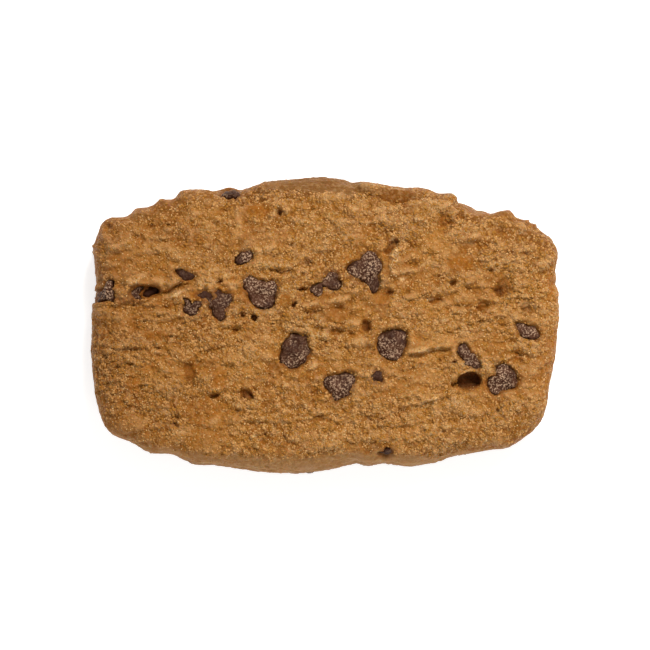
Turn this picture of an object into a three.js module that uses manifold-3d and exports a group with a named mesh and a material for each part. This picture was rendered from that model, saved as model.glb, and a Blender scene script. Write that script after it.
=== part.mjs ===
// A salted caramel cookie: one oblong, soft-baked biscuit, wire-cut from a dense dough, so its
// top is a torn, scaly face with small dark chocolate chips dragged through it. The dough has
// flowed into a barrel outline with rounded shoulders, and it lies on a flat baked underside.
// It is one piece: the chips are baked into the dough, so they are joined to it here.
//
// Millimetres. X runs along the cookie, Y across it, Z up. The origin is the middle of the
// rectangle that the cookie covers, on the surface that it rests on.
import * as THREE from "three";
import { mergeVertices } from "three/addons/utils/BufferGeometryUtils.js";
import Module from "manifold-3d";

// ---------------------------------------------------------------- driving dimensions
const HEIGHT = 13.6; // top of the crown, before its relief
const CROWN_FALL = 1.5; // how much lower the crown is by the time it reaches the shoulder
const WAIST = 5.2; // height of the widest line round the side
const SHOULDER = 5.2; // how far in from the widest line the shoulder starts
const FOOT = 2.0; // how far in from the widest line the flat underside starts
const FULLNESS = 0.82; // 1 rounds shoulder and foot as ellipses, less makes them squarer
const HALF_LENGTH = 38;
const HALF_WIDTH = 23.8;
const CORNER = 16; // half-width of the flat ends, where the barrel's long sides begin

// The outline from above, [x, y], counter-clockwise from the right-hand end: smooth ends, and
// long sides with the torn lips and notches that the cutting wire left.
const OUTLINE = [
  [38.1, 0.4], [37.6, 8.4], [38.0, 11.8], [37.2, 13.7], [35.2, 15.3], [33.3, 16.7],
  [30.9, 17.7], [30.2, 18.6], [28.9, 18.6], [26.9, 18.0], [22.3, 19.8], [21.3, 20.2],
  [20.9, 21.1], [18.4, 21.4], [16.6, 22.2], [11.7, 22.4], [6.0, 23.4], [4.4, 23.2],
  [2.6, 23.7], [-5.4, 23.8], [-10.1, 23.3], [-13.6, 22.0], [-15.6, 22.5], [-18.2, 21.8],
  [-19.4, 22.0], [-23.6, 21.5], [-25.0, 20.4], [-27.2, 20.3], [-28.6, 19.5], [-30.7, 19.0],
  [-32.4, 17.7], [-35.2, 17.4], [-36.7, 16.3], [-37.7, 13.6], [-37.5, 5.6], [-38.3, -4.5],
  [-37.5, -11.6], [-36.3, -16.3], [-35.2, -17.7], [-31.8, -19.3], [-28.6, -20.9],
  [-24.9, -21.3], [-21.6, -22.6], [-16.8, -23.2], [-12.3, -23.8], [0.6, -23.8], [4.9, -22.8],
  [7.2, -23.2], [9.3, -22.8], [12.9, -23.2], [17.5, -22.8], [19.8, -21.8], [26.7, -20.6],
  [30.1, -20.0], [35.8, -14.7], [36.8, -9.3], [37.7, -3.4],
];

// Hollows in the top face: [x, y, half length, half width, turn in degrees, depth]. Most are
// places that a chip was dragged out of, or sank below.
const HOLLOWS = [
  [-29.4, 5.2, 2.4, 1.0, 6, 2.0],
  [-17.5, 5.0, 1.8, 0.7, -5, 1.5],
  [23.5, -9.2, 2.0, 1.4, 10, 2.4],
  [6.5, -0.3, 1.0, 1.2, -20, 0.9],
  [-12.7, -11.5, 1.4, 0.8, -28, 0.9],
  [-22.1, -7.9, 1.1, 2.3, 8, 0.8],
  [29.0, 6.0, 1.7, 2.0, -35, 0.9],
  [-8.2, -7.1, 2.3, 2.2, 0, 0.3],
  [19.1, 16.5, 1.6, 0.7, 8, 0.9],
  [10.6, 12.5, 1.7, 0.7, 52, 0.9],
  [25.5, 2.9, 1.2, 0.8, 20, 0.5],
];

// Torn ledges in the top face: the points each runs through, its height and how far back it
// fades. The dough behind a ledge (+Y) is raised into a lip, and falls off sharply in front.
const LEDGES = [
  { path: [[16.5, 4.4], [19.5, 5.0], [22.5, 6.1], [25.1, 7.4]], high: 0.4, back: 2.2 },
  { path: [[13.0, -4.8], [16.3, -4.2], [21.3, -3.3]], high: 0.5, back: 2.4 },
  { path: [[10.9, -14.3], [13.9, -13.2], [19.6, -11.2]], high: 0.35, back: 2.4 },
  { path: [[-4.3, 2.0], [-0.9, 2.5], [2.1, 3.0], [5.9, 4.2]], high: 0.5, back: 2.2 },
  { path: [[-37.6, 3.8], [-31.5, 3.4], [-26.2, 5.4], [-22.2, 7.2]], high: 0.7, back: 2.6 },
  { path: [[4.8, 23.0], [7.3, 21.5], [10.4, 20.6], [16.3, 20.4]], high: 0.7, back: 2.8 },
  { path: [[19.5, 13.9], [24.0, 13.2], [28.5, 13.7]], high: 0.35, back: 2.2 },
  { path: [[-35.0, 11.7], [-32.8, 12.1], [-31.0, 12.0]], high: 0.3, back: 1.8 },
  { path: [[-35.0, -3.7], [-30.6, -3.8], [-26.0, -3.3]], high: 0.35, back: 2.0 },
  { path: [[-18.8, -11.9], [-16.4, -10.6], [-13.4, -10.9]], high: 0.35, back: 2.0 },
];
const LEDGE_DROP = 0.6; // how far the dough in front of a ledge is sunk, over the ledge's height
const LEDGE_FRONT = 0.5; // how far forward that sinking reaches, over the lip's fade

// Chips showing in the top face: where, and the lobes that each is made of, [along X, along Y,
// radius] from that place.
const TOP_CHIPS = [
  { at: [-10.7, 5.6], lobes: [[-1.6, 1.3, 1.4], [0.1, 1.1, 1.3], [1.7, 0.9, 1.3], [0.3, -1.3, 1.6]] },
  { at: [-17.0, 3.1], lobes: [[-1.0, 1.1, 1.1], [0.8, 1.2, 1.1], [0.2, -1.2, 1.2]] },
  { at: [-21.9, 2.8], lobes: [[-0.5, 0.6, 1.0], [0.3, -0.6, 1.0]] },
  { at: [-13.3, 10.9], lobes: [[-0.5, -0.4, 0.9], [0.5, 0.4, 0.9]] },
  { at: [-22.9, 8.1], lobes: [[-0.8, 0.3, 0.7], [0.6, -0.1, 0.8]] },
  { at: [-35.6, 5.0], lobes: [[-0.9, 0.0, 1.1], [0.6, -0.4, 1.0], [0.5, 1.0, 0.8]] },
  { at: [0.9, 6.9], lobes: [[0.3, 0.8, 1.0], [-0.7, -0.5, 1.0], [0.5, -0.6, 1.0]] },
  { at: [-1.8, 5.6], lobes: [[-0.3, -0.3, 0.8], [0.4, 0.4, 0.7]] },
  { at: [7.0, 9.0], lobes: [[0.6, 2.4, 1.3], [0.6, 0.3, 1.8], [-2.1, -0.1, 1.3], [1.2, -2.2, 1.3]] },
  { at: [-5.0, -4.5], lobes: [[-0.1, 1.4, 1.7], [0.3, -0.4, 2.3], [-0.6, -1.4, 1.8]] },
  { at: [2.4, -9.7], lobes: [[-1.2, 0.9, 1.5], [1.2, 0.8, 1.6], [-0.1, -1.0, 1.6]] },
  { at: [8.6, -8.2], lobes: [[0.0, 0.2, 0.9], [0.1, -0.2, 0.9]] },
  { at: [11.0, -3.4], lobes: [[-0.6, 0.9, 1.9], [0.9, 0.8, 1.9], [-0.2, -0.9, 1.9]] },
  { at: [23.2, -5.1], lobes: [[-1.1, 1.6, 1.0], [0.0, 0.0, 1.2], [1.2, -1.5, 1.0]] },
  { at: [28.8, -9.1], lobes: [[0.6, 1.3, 1.5], [1.1, -0.5, 1.7], [-1.3, -0.9, 1.6]] },
  { at: [32.9, -1.0], lobes: [[-0.9, 0.3, 1.2], [0.9, -0.2, 1.3]] },
  { at: [-15.3, 21.3], lobes: [[-0.6, 0.2, 1.0], [0.7, -0.1, 1.0]] },
  { at: [10.0, -21.0], lobes: [[-0.6, -0.1, 0.8], [0.6, 0.1, 0.8]] },
];

// Chips showing low round the side: [bearing in degrees, height, radius].
const SIDE_CHIPS = [
  [11, 3.4, 1.8], [87, 3.7, 2.0], [113, 3.2, 1.6], [187, 3.5, 1.9], [261, 3.3, 2.1],
  [351, 3.0, 1.7],
];
const CHIP_FLATTEN = 0.55; // a chip's thickness over its breadth
const CHIP_BLEND = 2.5; // how sharply a chip's lobes meet
const CHIP_KNOBS = 0.08; // how uneven a chip is, over its size
const TOP_PROUD = 0.55; // how far the chips stand out of the top face
const SIDE_PROUD = 0.15; // and out of the side, where the dough has been pressed
const LEVEL = 1.6; // width of the rim of dough over which it comes level with a chip

// The rest of the relief. Lumps are all over the dough: [height, length along X, along Y].
// Scales are on the cut face alone.
const LUMPS = [[0.28, 5.5, 3.8], [0.16, 2.4, 2.0]];
const SCALE_PITCH = 3.3;
const SCALE_LIFT = 0.5;
const SCALE_EDGE = 0.2; // share of the pitch that a scale's torn edge takes up
const SIDE_CALM = 0.45; // how much of the lumps is left on the pressed side
const FIRM = 2; // height over which the relief grows from nothing at the underside

// How finely the dough is faceted: cells along and across the top, and rows down the foot.
const CELLS_LONG = 64;
const CELLS_WIDE = 40;
const FOOT_ROWS = 5;

// ---------------------------------------------------------------- noise
const { lerp, degToRad } = THREE.MathUtils;

function smoothstep(low, high, x) {
  const t = Math.min(1, Math.max(0, (x - low) / (high - low)));
  return t * t * (3 - 2 * t);
}

// A smooth random field of about -1 to 1, with one lump for each unit of x, y and z.
function lattice(i, j, k) {
  const v = Math.sin(i * 127.1 + j * 311.7 + k * 74.7) * 43758.5453;
  return 2 * (v - Math.floor(v)) - 1;
}
function noise(x, y, z = 0) {
  const [i, j, k] = [Math.floor(x), Math.floor(y), Math.floor(z)];
  const [u, v, w] = [smoothstep(0, 1, x - i), smoothstep(0, 1, y - j), smoothstep(0, 1, z - k)];
  const layer = (kk) =>
    lerp(
      lerp(lattice(i, j, kk), lattice(i + 1, j, kk), u),
      lerp(lattice(i, j + 1, kk), lattice(i + 1, j + 1, kk), u),
      v,
    );
  return lerp(layer(k), layer(k + 1), w);
}

// ---------------------------------------------------------------- outline
const TURN = 2 * Math.PI;
const wrap = (angle) => ((angle % TURN) + TURN) % TURN;
const knots = OUTLINE.map(([x, y]) => ({ angle: wrap(Math.atan2(y, x)), radius: Math.hypot(x, y) }));
knots.sort((a, b) => a.angle - b.angle);

// The outline's radius at a bearing: a cubic through the knots that never overshoots them.
function outlineRadius(bearing) {
  const angle = wrap(bearing);
  const after = knots.findIndex((k) => k.angle > angle);
  const from = (after < 1 ? knots.length : after) - 1;
  const knot = (j) => knots[(j + knots.length) % knots.length];
  const step = (j) => wrap(knot(j + 1).angle - knot(j).angle);
  const slope = (j) => (knot(j + 1).radius - knot(j).radius) / step(j);
  const tangent = (j) => {
    const [a, b] = [slope(j - 1), slope(j)];
    return a * b > 0 ? (2 * a * b) / (a + b) : 0;
  };
  const h = step(from);
  const t = wrap(angle - knot(from).angle) / h;
  return (
    knot(from).radius * (1 + 2 * t) * (1 - t) ** 2 +
    tangent(from) * h * t * (1 - t) ** 2 +
    knot(from + 1).radius * t * t * (3 - 2 * t) -
    tangent(from + 1) * h * t * t * (1 - t)
  );
}

// The same outline with its tears smoothed away, for the foot of the side.
function smoothRadius(bearing) {
  const spread = [-0.12, -0.06, 0, 0.06, 0.12];
  return spread.reduce((sum, d) => sum + outlineRadius(bearing + d), 0) / spread.length;
}

// ---------------------------------------------------------------- smooth body
const crown = (x, y) =>
  HEIGHT - CROWN_FALL * Math.min(1, (x / HALF_LENGTH) ** 2 + (y / HALF_WIDTH) ** 2);
const shoulderHeight = (x, y, phi) => WAIST + (crown(x, y) - WAIST) * Math.cos(phi) ** FULLNESS;
const footInset = (phi) => FOOT * (1 - Math.cos(phi) ** FULLNESS);

// A point of the top, from s = 0 in the middle to s = 1 on the widest line.
function topPoint(bearing, s) {
  const radius = outlineRadius(bearing);
  const run = 0.9 * (SHOULDER + HEIGHT - WAIST); // about the length of the shoulder's curve
  const flat = (radius - SHOULDER) / (radius - SHOULDER + run);
  const phi = (Math.max(0, s - flat) / (1 - flat)) * (Math.PI / 2);
  const r = s < flat
    ? ((radius - SHOULDER) * s) / flat
    : radius - SHOULDER * (1 - Math.sin(phi) ** FULLNESS);
  const [x, y] = [r * Math.cos(bearing), r * Math.sin(bearing)];
  return new THREE.Vector3(x, y, shoulderHeight(x, y, phi));
}

// A point of the foot, from s = 0 on the widest line to s = 1 on the underside.
function footPoint(bearing, s) {
  const phi = (s * Math.PI) / 2;
  const radius = lerp(outlineRadius(bearing), smoothRadius(bearing), smoothstep(0, 0.6, s));
  const r = radius - footInset(phi);
  const z = WAIST * (1 - Math.sin(phi) ** FULLNESS);
  return new THREE.Vector3(r * Math.cos(bearing), r * Math.sin(bearing), z);
}

// The place and outward normal of the smooth body's top at (x, y).
function topSurface(x, y) {
  const height = (px, py) => {
    const inset = outlineRadius(Math.atan2(py, px)) - Math.hypot(px, py);
    const share = 1 - Math.min(1, Math.max(0, inset / SHOULDER));
    return shoulderHeight(px, py, Math.asin(share ** (1 / FULLNESS)));
  };
  const d = 0.4;
  const normal = new THREE.Vector3(
    (height(x - d, y) - height(x + d, y)) / (2 * d),
    (height(x, y - d) - height(x, y + d)) / (2 * d),
    1,
  ).normalize();
  return { point: new THREE.Vector3(x, y, height(x, y)), normal };
}

// The place and outward normal of the smooth body's foot, at a bearing and a height.
function footSurface(bearing, z) {
  const out = new THREE.Vector3(Math.cos(bearing), Math.sin(bearing), 0);
  const phi = Math.asin((1 - z / WAIST) ** (1 / FULLNESS));
  const point = out.clone().multiplyScalar(outlineRadius(bearing) - footInset(phi)).setZ(z);
  return { point, normal: out };
}

// The bearing of a point (u, v) of a square whose edge is laid along the barrel's outline.
function squareBearing(u, v) {
  const s = Math.max(Math.abs(u), Math.abs(v));
  const [a, b] = [u / s, v / s];
  const side = Math.abs(b) === 1 ? lerp(HALF_WIDTH, CORNER, Math.abs(a) ** 2.2) : CORNER;
  return Math.atan2(b * side, a * HALF_LENGTH);
}

// ---------------------------------------------------------------- relief
// How high a hollow leaves the dough at (x, y): zero outside it, less than zero inside.
function hollowDepth([cx, cy, long, wide, turn, depth], x, y) {
  const angle = degToRad(turn);
  const [dx, dy] = [x - cx, y - cy];
  const along = (dx * Math.cos(angle) + dy * Math.sin(angle)) / long;
  const across = (dy * Math.cos(angle) - dx * Math.sin(angle)) / wide;
  return -depth * (1 - smoothstep(0.35, 1.15, Math.hypot(along, across)));
}

// A ledge's height at (x, y), from the nearest place on its path, which runs towards +X.
function ledgeHeight({ path, high, back }, x, y) {
  let best = { distance: Infinity };
  for (let i = 0; i + 1 < path.length; i++) {
    const [[ax, ay], [bx, by]] = [path[i], path[i + 1]];
    const [ex, ey] = [bx - ax, by - ay];
    const t = ((x - ax) * ex + (y - ay) * ey) / (ex * ex + ey * ey);
    const near = Math.min(1, Math.max(0, t));
    const distance = Math.hypot(x - ax - near * ex, y - ay - near * ey);
    const behind = ex * (y - ay) > ey * (x - ax);
    if (distance < best.distance) best = { distance, behind, along: (i + near) / (path.length - 1) };
  }
  const taper = smoothstep(0, 0.15, best.along) * smoothstep(1, 0.85, best.along);
  const lip = best.behind
    ? 1 - smoothstep(0, back, best.distance)
    : -LEDGE_DROP * (1 - smoothstep(0, LEDGE_FRONT * back, best.distance));
  return high * taper * lip;
}

// Torn scales all over the cut face, each thickening to a ragged edge towards -Y.
function scaleHeight(x, y) {
  const drift = 1.9 * noise(x / 9 + 3, y / 5) + 0.8 * noise(x / 3.6, y / 2.4 + 8);
  const phase = (y + drift) / SCALE_PITCH;
  const back = phase - Math.floor(phase);
  const patch = 0.5 + 0.5 * noise(x / 7 + 11, y / 4 + 5);
  return SCALE_LIFT * patch * ((1 - back) * smoothstep(0, SCALE_EDGE, back) - 0.35);
}

// The dough's own relief at a point of the smooth body; facing is how much it looks upwards.
function doughRelief(p, facing) {
  const cut = smoothstep(0.55, 0.95, facing);
  const lump = ([high, long, wide]) => high * noise(p.x / long, p.y / wide, p.z / wide);
  const lumps = LUMPS.reduce((sum, size) => sum + lump(size), 0);
  let height = lumps * lerp(SIDE_CALM, 1, cut) + cut * scaleHeight(p.x, p.y);
  if (facing > 0.2) {
    for (const ledge of LEDGES) height += ledgeHeight(ledge, p.x, p.y);
    for (const hollow of HOLLOWS) height += hollowDepth(hollow, p.x, p.y);
  }
  return height;
}

// The same, levelled round each chip of the top face to the height at the chip's middle.
const seats = TOP_CHIPS.map(({ at, lobes }) => {
  const { point, normal } = topSurface(...at);
  const reach = Math.max(...lobes.map(([x, y, r]) => Math.hypot(x, y) + r));
  return { point, reach, height: doughRelief(point, normal.z) };
});
function relief(p, facing) {
  let height = doughRelief(p, facing);
  for (const seat of seats) {
    const distance = p.distanceTo(seat.point);
    const hold = 1 - smoothstep(seat.reach - LEVEL, seat.reach, distance);
    height = lerp(height, seat.height, hold);
  }
  return height;
}

// ---------------------------------------------------------------- dough
// The dough as one closed shell: a warped square of cells over the top and shoulder, rows of
// cells down the foot, and a flat fan for the underside.
function doughGeometry() {
  const points = [];
  const faces = [];
  const topIndex = (i, j) => i * (CELLS_WIDE + 1) + j;
  const square = (i, j) => [(2 * i) / CELLS_LONG - 1, (2 * j) / CELLS_WIDE - 1];
  for (let i = 0; i <= CELLS_LONG; i++) {
    for (let j = 0; j <= CELLS_WIDE; j++) {
      const [u, v] = square(i, j);
      const s = Math.max(Math.abs(u), Math.abs(v));
      points.push(topPoint(s === 0 ? 0 : squareBearing(u, v), s));
    }
  }
  for (let i = 0; i < CELLS_LONG; i++) {
    for (let j = 0; j < CELLS_WIDE; j++) {
      const [a, b] = [topIndex(i, j), topIndex(i + 1, j)];
      const [c, d] = [topIndex(i + 1, j + 1), topIndex(i, j + 1)];
      if ((i + j) % 2) faces.push(a, b, c, a, c, d);
      else faces.push(a, b, d, b, c, d);
    }
  }

  // The square's edge, counter-clockwise from its corner at -X and -Y.
  const edge = [];
  for (let i = 0; i < CELLS_LONG; i++) edge.push([i, 0]);
  for (let j = 0; j < CELLS_WIDE; j++) edge.push([CELLS_LONG, j]);
  for (let i = CELLS_LONG; i > 0; i--) edge.push([i, CELLS_WIDE]);
  for (let j = CELLS_WIDE; j > 0; j--) edge.push([0, j]);
  let row = edge.map(([i, j]) => topIndex(i, j));
  for (let k = 1; k <= FOOT_ROWS; k++) {
    const next = edge.map(([i, j]) => {
      const bearing = squareBearing(...square(i, j));
      return points.push(footPoint(bearing, k / FOOT_ROWS)) - 1;
    });
    row.forEach((a, n) => {
      const m = (n + 1) % row.length;
      faces.push(a, next[n], next[m], a, next[m], row[m]);
    });
    row = next;
  }
  const middle = points.push(new THREE.Vector3(0, 0, 0)) - 1;
  row.forEach((a, n) => faces.push(middle, row[(n + 1) % row.length], a));

  const geometry = new THREE.BufferGeometry().setFromPoints(points).setIndex(faces);
  geometry.computeVertexNormals();
  const { position, normal } = geometry.attributes;
  points.forEach((p, n) => {
    const facing = new THREE.Vector3().fromBufferAttribute(normal, n);
    p.addScaledVector(facing, smoothstep(0, FIRM, p.z) * relief(p, facing.z));
    position.setXYZ(n, p.x, p.y, p.z);
  });
  return geometry;
}

// ---------------------------------------------------------------- chips
// A chip as a rounded, flat-topped blob over its lobes, in a frame whose Z is its thickness.
function chipGeometry(lobes, seed) {
  const ball = new THREE.IcosahedronGeometry(1, 2);
  ball.deleteAttribute("normal");
  ball.deleteAttribute("uv");
  const geometry = mergeVertices(ball, 1e-4);
  const { position } = geometry.attributes;
  const reach = Math.max(...lobes.map(([x, y, r]) => Math.hypot(x, y) + r)) + 1;
  const lobeField = (p, [x, y, r]) => {
    const across = Math.hypot(p.x - x, p.y - y) / r;
    const up = Math.abs(p.z) / (CHIP_FLATTEN * r);
    return Math.exp(CHIP_BLEND * (1 - across ** 2 - up ** 3));
  };
  const inside = (p) => lobes.reduce((sum, lobe) => sum + lobeField(p, lobe), 0) > 1;
  for (let n = 0; n < position.count; n++) {
    const way = new THREE.Vector3().fromBufferAttribute(position, n).normalize();
    let far = reach;
    while (far > 0.3 && !inside(way.clone().multiplyScalar(far))) far -= 0.05;
    far *= 1 + CHIP_KNOBS * noise(way.x * 2.2 + seed, way.y * 2.2, way.z * 2.2);
    position.setXYZ(n, way.x * far, way.y * far, way.z * far);
  }
  return geometry;
}

// Sets a chip on the dough, its Z along the surface's normal, so that it stands proud of it.
function seatChip(geometry, { point, normal }, proud) {
  geometry.computeBoundingBox();
  const turn = new THREE.Quaternion().setFromUnitVectors(new THREE.Vector3(0, 0, 1), normal);
  const lift = relief(point, normal.z) + proud - geometry.boundingBox.max.z;
  const place = point.clone().addScaledVector(normal, lift);
  const same = new THREE.Vector3(1, 1, 1);
  return geometry.applyMatrix4(new THREE.Matrix4().compose(place, turn, same));
}

function chipGeometries() {
  const top = TOP_CHIPS.map(({ at, lobes }, n) =>
    seatChip(chipGeometry(lobes, n), topSurface(...at), TOP_PROUD),
  );
  const side = SIDE_CHIPS.map(([degrees, z, r], n) => {
    const lobes = [[-0.3 * r, 0.1 * r, 0.8 * r], [0.4 * r, -0.1 * r, 0.7 * r]];
    const seat = footSurface(degToRad(degrees), z);
    return seatChip(chipGeometry(lobes, TOP_CHIPS.length + n), seat, SIDE_PROUD);
  });
  return [...top, ...side];
}

// ---------------------------------------------------------------- one solid
const wasm = await Module();
wasm.setup();

function toSolid(geometry) {
  return new wasm.Manifold(
    new wasm.Mesh({
      numProp: 3,
      vertProperties: new Float32Array(geometry.attributes.position.array),
      triVerts: new Uint32Array(geometry.index.array),
    }),
  );
}

function toGeometry(solid) {
  const mesh = solid.getMesh();
  return new THREE.BufferGeometry()
    .setAttribute("position", new THREE.BufferAttribute(mesh.vertProperties, 3))
    .setIndex(new THREE.BufferAttribute(mesh.triVerts, 1));
}

const joined = chipGeometries().reduce(
  (solid, chip) => solid.add(toSolid(chip)),
  toSolid(doughGeometry()),
);
const geometry = toGeometry(joined);
geometry.computeBoundingBox();
const middle = geometry.boundingBox.getCenter(new THREE.Vector3());
geometry.translate(-middle.x, -middle.y, 0);

const dough = new THREE.MeshStandardMaterial({ color: "#9e6d3a", roughness: 0.6, metalness: 0 });
const cookie = new THREE.Mesh(geometry, dough);
cookie.name = "cookie";

const part = new THREE.Group();
part.add(cookie);
export default part;
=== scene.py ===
# A salted caramel cookie, dressed over its CAD solid: torn, granular dough with dark chips
# baked into it and grains of sugar and salt on the cut face. The work is in millimetres, in
# the frame of the part's source before it is centred; it is centred as each mesh is made.
import math

import bmesh
import bpy
import numpy as np
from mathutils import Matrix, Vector


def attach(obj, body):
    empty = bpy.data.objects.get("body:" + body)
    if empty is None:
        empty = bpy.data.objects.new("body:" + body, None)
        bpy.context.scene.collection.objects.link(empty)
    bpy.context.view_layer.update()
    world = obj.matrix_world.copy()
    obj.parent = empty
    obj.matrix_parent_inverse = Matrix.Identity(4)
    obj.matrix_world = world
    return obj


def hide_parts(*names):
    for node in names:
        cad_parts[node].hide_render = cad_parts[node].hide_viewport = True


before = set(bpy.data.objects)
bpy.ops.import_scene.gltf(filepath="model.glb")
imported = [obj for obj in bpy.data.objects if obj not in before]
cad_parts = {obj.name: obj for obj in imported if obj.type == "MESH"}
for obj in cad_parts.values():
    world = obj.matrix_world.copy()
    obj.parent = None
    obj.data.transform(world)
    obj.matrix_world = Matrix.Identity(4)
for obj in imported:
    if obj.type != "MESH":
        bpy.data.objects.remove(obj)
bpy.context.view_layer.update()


# ---------------------------------------------------------------- the dough
# Dense, soft-baked dough, squeezed out of a die and cut off by a wire. The die left the sides
# smooth and finely streaked, and the wire tore the top into granular scales and ledges. It
# baked on a flat band, which left the underside flat, browner and pitted with small bubbles.
HEIGHT = 13.6
CROWN_FALL = 1.5
WAIST = 5.2
SHOULDER = 5.2
FOOT = 2.0
FULLNESS = 0.82
HALF_LENGTH = 38.0
HALF_WIDTH = 23.8
CORNER = 16.0
CENTRING = np.array([0.1514, 0.2144, 0.0])  # how far the source moves the solid to centre it
TURN = 2.0 * math.pi

# The outline from above, counter-clockwise: smooth ends, long sides torn by the wire.
OUTLINE = [
    (38.1, 0.4), (37.6, 8.4), (38.0, 11.8), (37.2, 13.7), (35.2, 15.3), (33.3, 16.7), (30.9, 17.7),
    (30.2, 18.6), (28.9, 18.6), (26.9, 18.0), (22.3, 19.8), (21.3, 20.2), (20.9, 21.1), (18.4, 21.4),
    (16.6, 22.2), (11.7, 22.4), (6.0, 23.4), (4.4, 23.2), (2.6, 23.7), (-5.4, 23.8), (-10.1, 23.3),
    (-13.6, 22.0), (-15.6, 22.5), (-18.2, 21.8), (-19.4, 22.0), (-23.6, 21.5), (-25.0, 20.4),
    (-27.2, 20.3), (-28.6, 19.5), (-30.7, 19.0), (-32.4, 17.7), (-35.2, 17.4), (-36.7, 16.3),
    (-37.7, 13.6), (-37.5, 5.6), (-38.3, -4.5), (-37.5, -11.6), (-36.3, -16.3), (-35.2, -17.7),
    (-31.8, -19.3), (-28.6, -20.9), (-24.9, -21.3), (-21.6, -22.6), (-16.8, -23.2), (-12.3, -23.8),
    (0.6, -23.8), (4.9, -22.8), (7.2, -23.2), (9.3, -22.8), (12.9, -23.2), (17.5, -22.8), (19.8, -21.8),
    (26.7, -20.6), (30.1, -20.0), (35.8, -14.7), (36.8, -9.3), (37.7, -3.4),
]

# Crags and nicks of the torn edge: (x, y, half width along the edge, how far out).
CRAGS = [
    (21.3, 20.5, 0.5, 0.5), (20.0, 20.9, 0.9, 0.25), (33.0, 16.9, 0.25, 0.45), (34.2, 16.2, 0.35, 0.4),
    (28.5, 18.4, 1.2, 0.15), (24.6, 18.6, 1.0, -0.2), (12.0, 22.4, 0.7, 0.15), (-26.7, 20.4, 0.35, 0.45),
    (-25.6, 20.6, 0.3, 0.25), (-23.0, 21.6, 0.9, 0.25), (-29.6, 19.2, 0.5, -0.15),
    (-37.6, 12.7, 0.25, 0.2), (-37.7, 11.7, 0.3, 0.25), (-28.3, -20.9, 0.5, 0.2),
    (-22.6, -22.4, 0.5, -0.2), (-20.6, -22.8, 0.8, 0.15), (4.9, -22.8, 0.8, -0.15),
    (19.0, -22.3, 0.6, 0.15), (37.6, 6.6, 0.5, -0.3), (38.0, 4.9, 1.1, 0.2), (13.6, -23.1, 1.0, 0.12),
    (-38.2, -1.0, 2.0, -0.3), (-22.0, -22.4, 1.6, 0.3),
]


def ease(low, high, x):
    t = np.clip((x - low) / (high - low), 0.0, 1.0)
    return t * t * (3.0 - 2.0 * t)


def mixed(a, b, share):
    return a + (b - a) * share


# A smooth random field of about -1 to 1, the same as the source's.
def lattice(i, j, k):
    v = np.sin(i * 127.1 + j * 311.7 + k * 74.7) * 43758.5453
    return 2.0 * (v - np.floor(v)) - 1.0


def uneven(x, y, z=0.0):
    x, y, z = np.broadcast_arrays(x, y, z)
    i, j, k = np.floor(x), np.floor(y), np.floor(z)
    u, v, w = ease(0.0, 1.0, x - i), ease(0.0, 1.0, y - j), ease(0.0, 1.0, z - k)
    layers = []
    for kk in (k, k + 1):
        near = mixed(lattice(i, j, kk), lattice(i + 1, j, kk), u)
        far = mixed(lattice(i, j + 1, kk), lattice(i + 1, j + 1, kk), u)
        layers.append(mixed(near, far, v))
    return mixed(layers[0], layers[1], w)


knots = np.array(OUTLINE)
knot_angle = np.arctan2(knots[:, 1], knots[:, 0]) % TURN
in_turn = np.argsort(knot_angle)
knot_angle = knot_angle[in_turn]
knot_radius = np.hypot(knots[:, 0], knots[:, 1])[in_turn]
knot_step = (np.roll(knot_angle, -1) - knot_angle) % TURN
knot_slope = (np.roll(knot_radius, -1) - knot_radius) / knot_step
slope_before = np.roll(knot_slope, 1)
same_way = knot_slope * slope_before > 0
slope_sum = np.where(same_way, knot_slope + slope_before, 1.0)
knot_tangent = np.where(same_way, 2.0 * knot_slope * slope_before / slope_sum, 0.0)


def outline_radius(bearing):
    angle = np.asarray(bearing) % TURN
    n = np.searchsorted(knot_angle, angle, side="right") - 1
    m = (n + 1) % len(knot_angle)
    h = knot_step[n]
    t = ((angle - knot_angle[n]) % TURN) / h
    start = knot_radius[n] * (1 + 2 * t) * (1 - t) ** 2 + knot_tangent[n] * h * t * (1 - t) ** 2
    end = knot_radius[m] * t * t * (3 - 2 * t) - knot_tangent[m] * h * t * t * (1 - t)
    return start + end


def smooth_radius(bearing):
    return sum(outline_radius(bearing + d) for d in (-0.12, -0.06, 0.0, 0.06, 0.12)) / 5.0


def crown(x, y):
    return HEIGHT - CROWN_FALL * np.minimum(1.0, (x / HALF_LENGTH) ** 2 + (y / HALF_WIDTH) ** 2)


def shoulder_height(x, y, phi):
    return WAIST + (crown(x, y) - WAIST) * np.clip(np.cos(phi), 0.0, 1.0) ** FULLNESS


SHOULDER_SHARE = 7.0  # length, in cells' worth of the flat, that the shoulder is given


# A point of the top, from s = 0 in the middle to s = 1 on the widest line.
def top_point(bearing, s):
    radius = outline_radius(bearing)
    flat = (radius - SHOULDER) / (radius - SHOULDER + SHOULDER_SHARE)
    phi = np.maximum(0.0, s - flat) / (1 - flat) * (math.pi / 2)
    level = (radius - SHOULDER) * s / flat
    rounded = radius - SHOULDER * (1 - np.sin(phi) ** FULLNESS)
    r = np.where(s < flat, level, rounded)
    x, y = r * np.cos(bearing), r * np.sin(bearing)
    return np.stack([x, y, shoulder_height(x, y, phi)], axis=-1)


# A point of the foot, from s = 0 on the widest line to s = 1 on the underside.
def foot_point(bearing, s):
    phi = s * math.pi / 2
    radius = mixed(outline_radius(bearing), smooth_radius(bearing), ease(0.0, 0.6, s))
    r = radius - FOOT * (1 - np.clip(np.cos(phi), 0.0, 1.0) ** FULLNESS)
    z = WAIST * (1 - np.sin(phi) ** FULLNESS) + 0.0 * r
    return np.stack([r * np.cos(bearing), r * np.sin(bearing), z], axis=-1)


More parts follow.
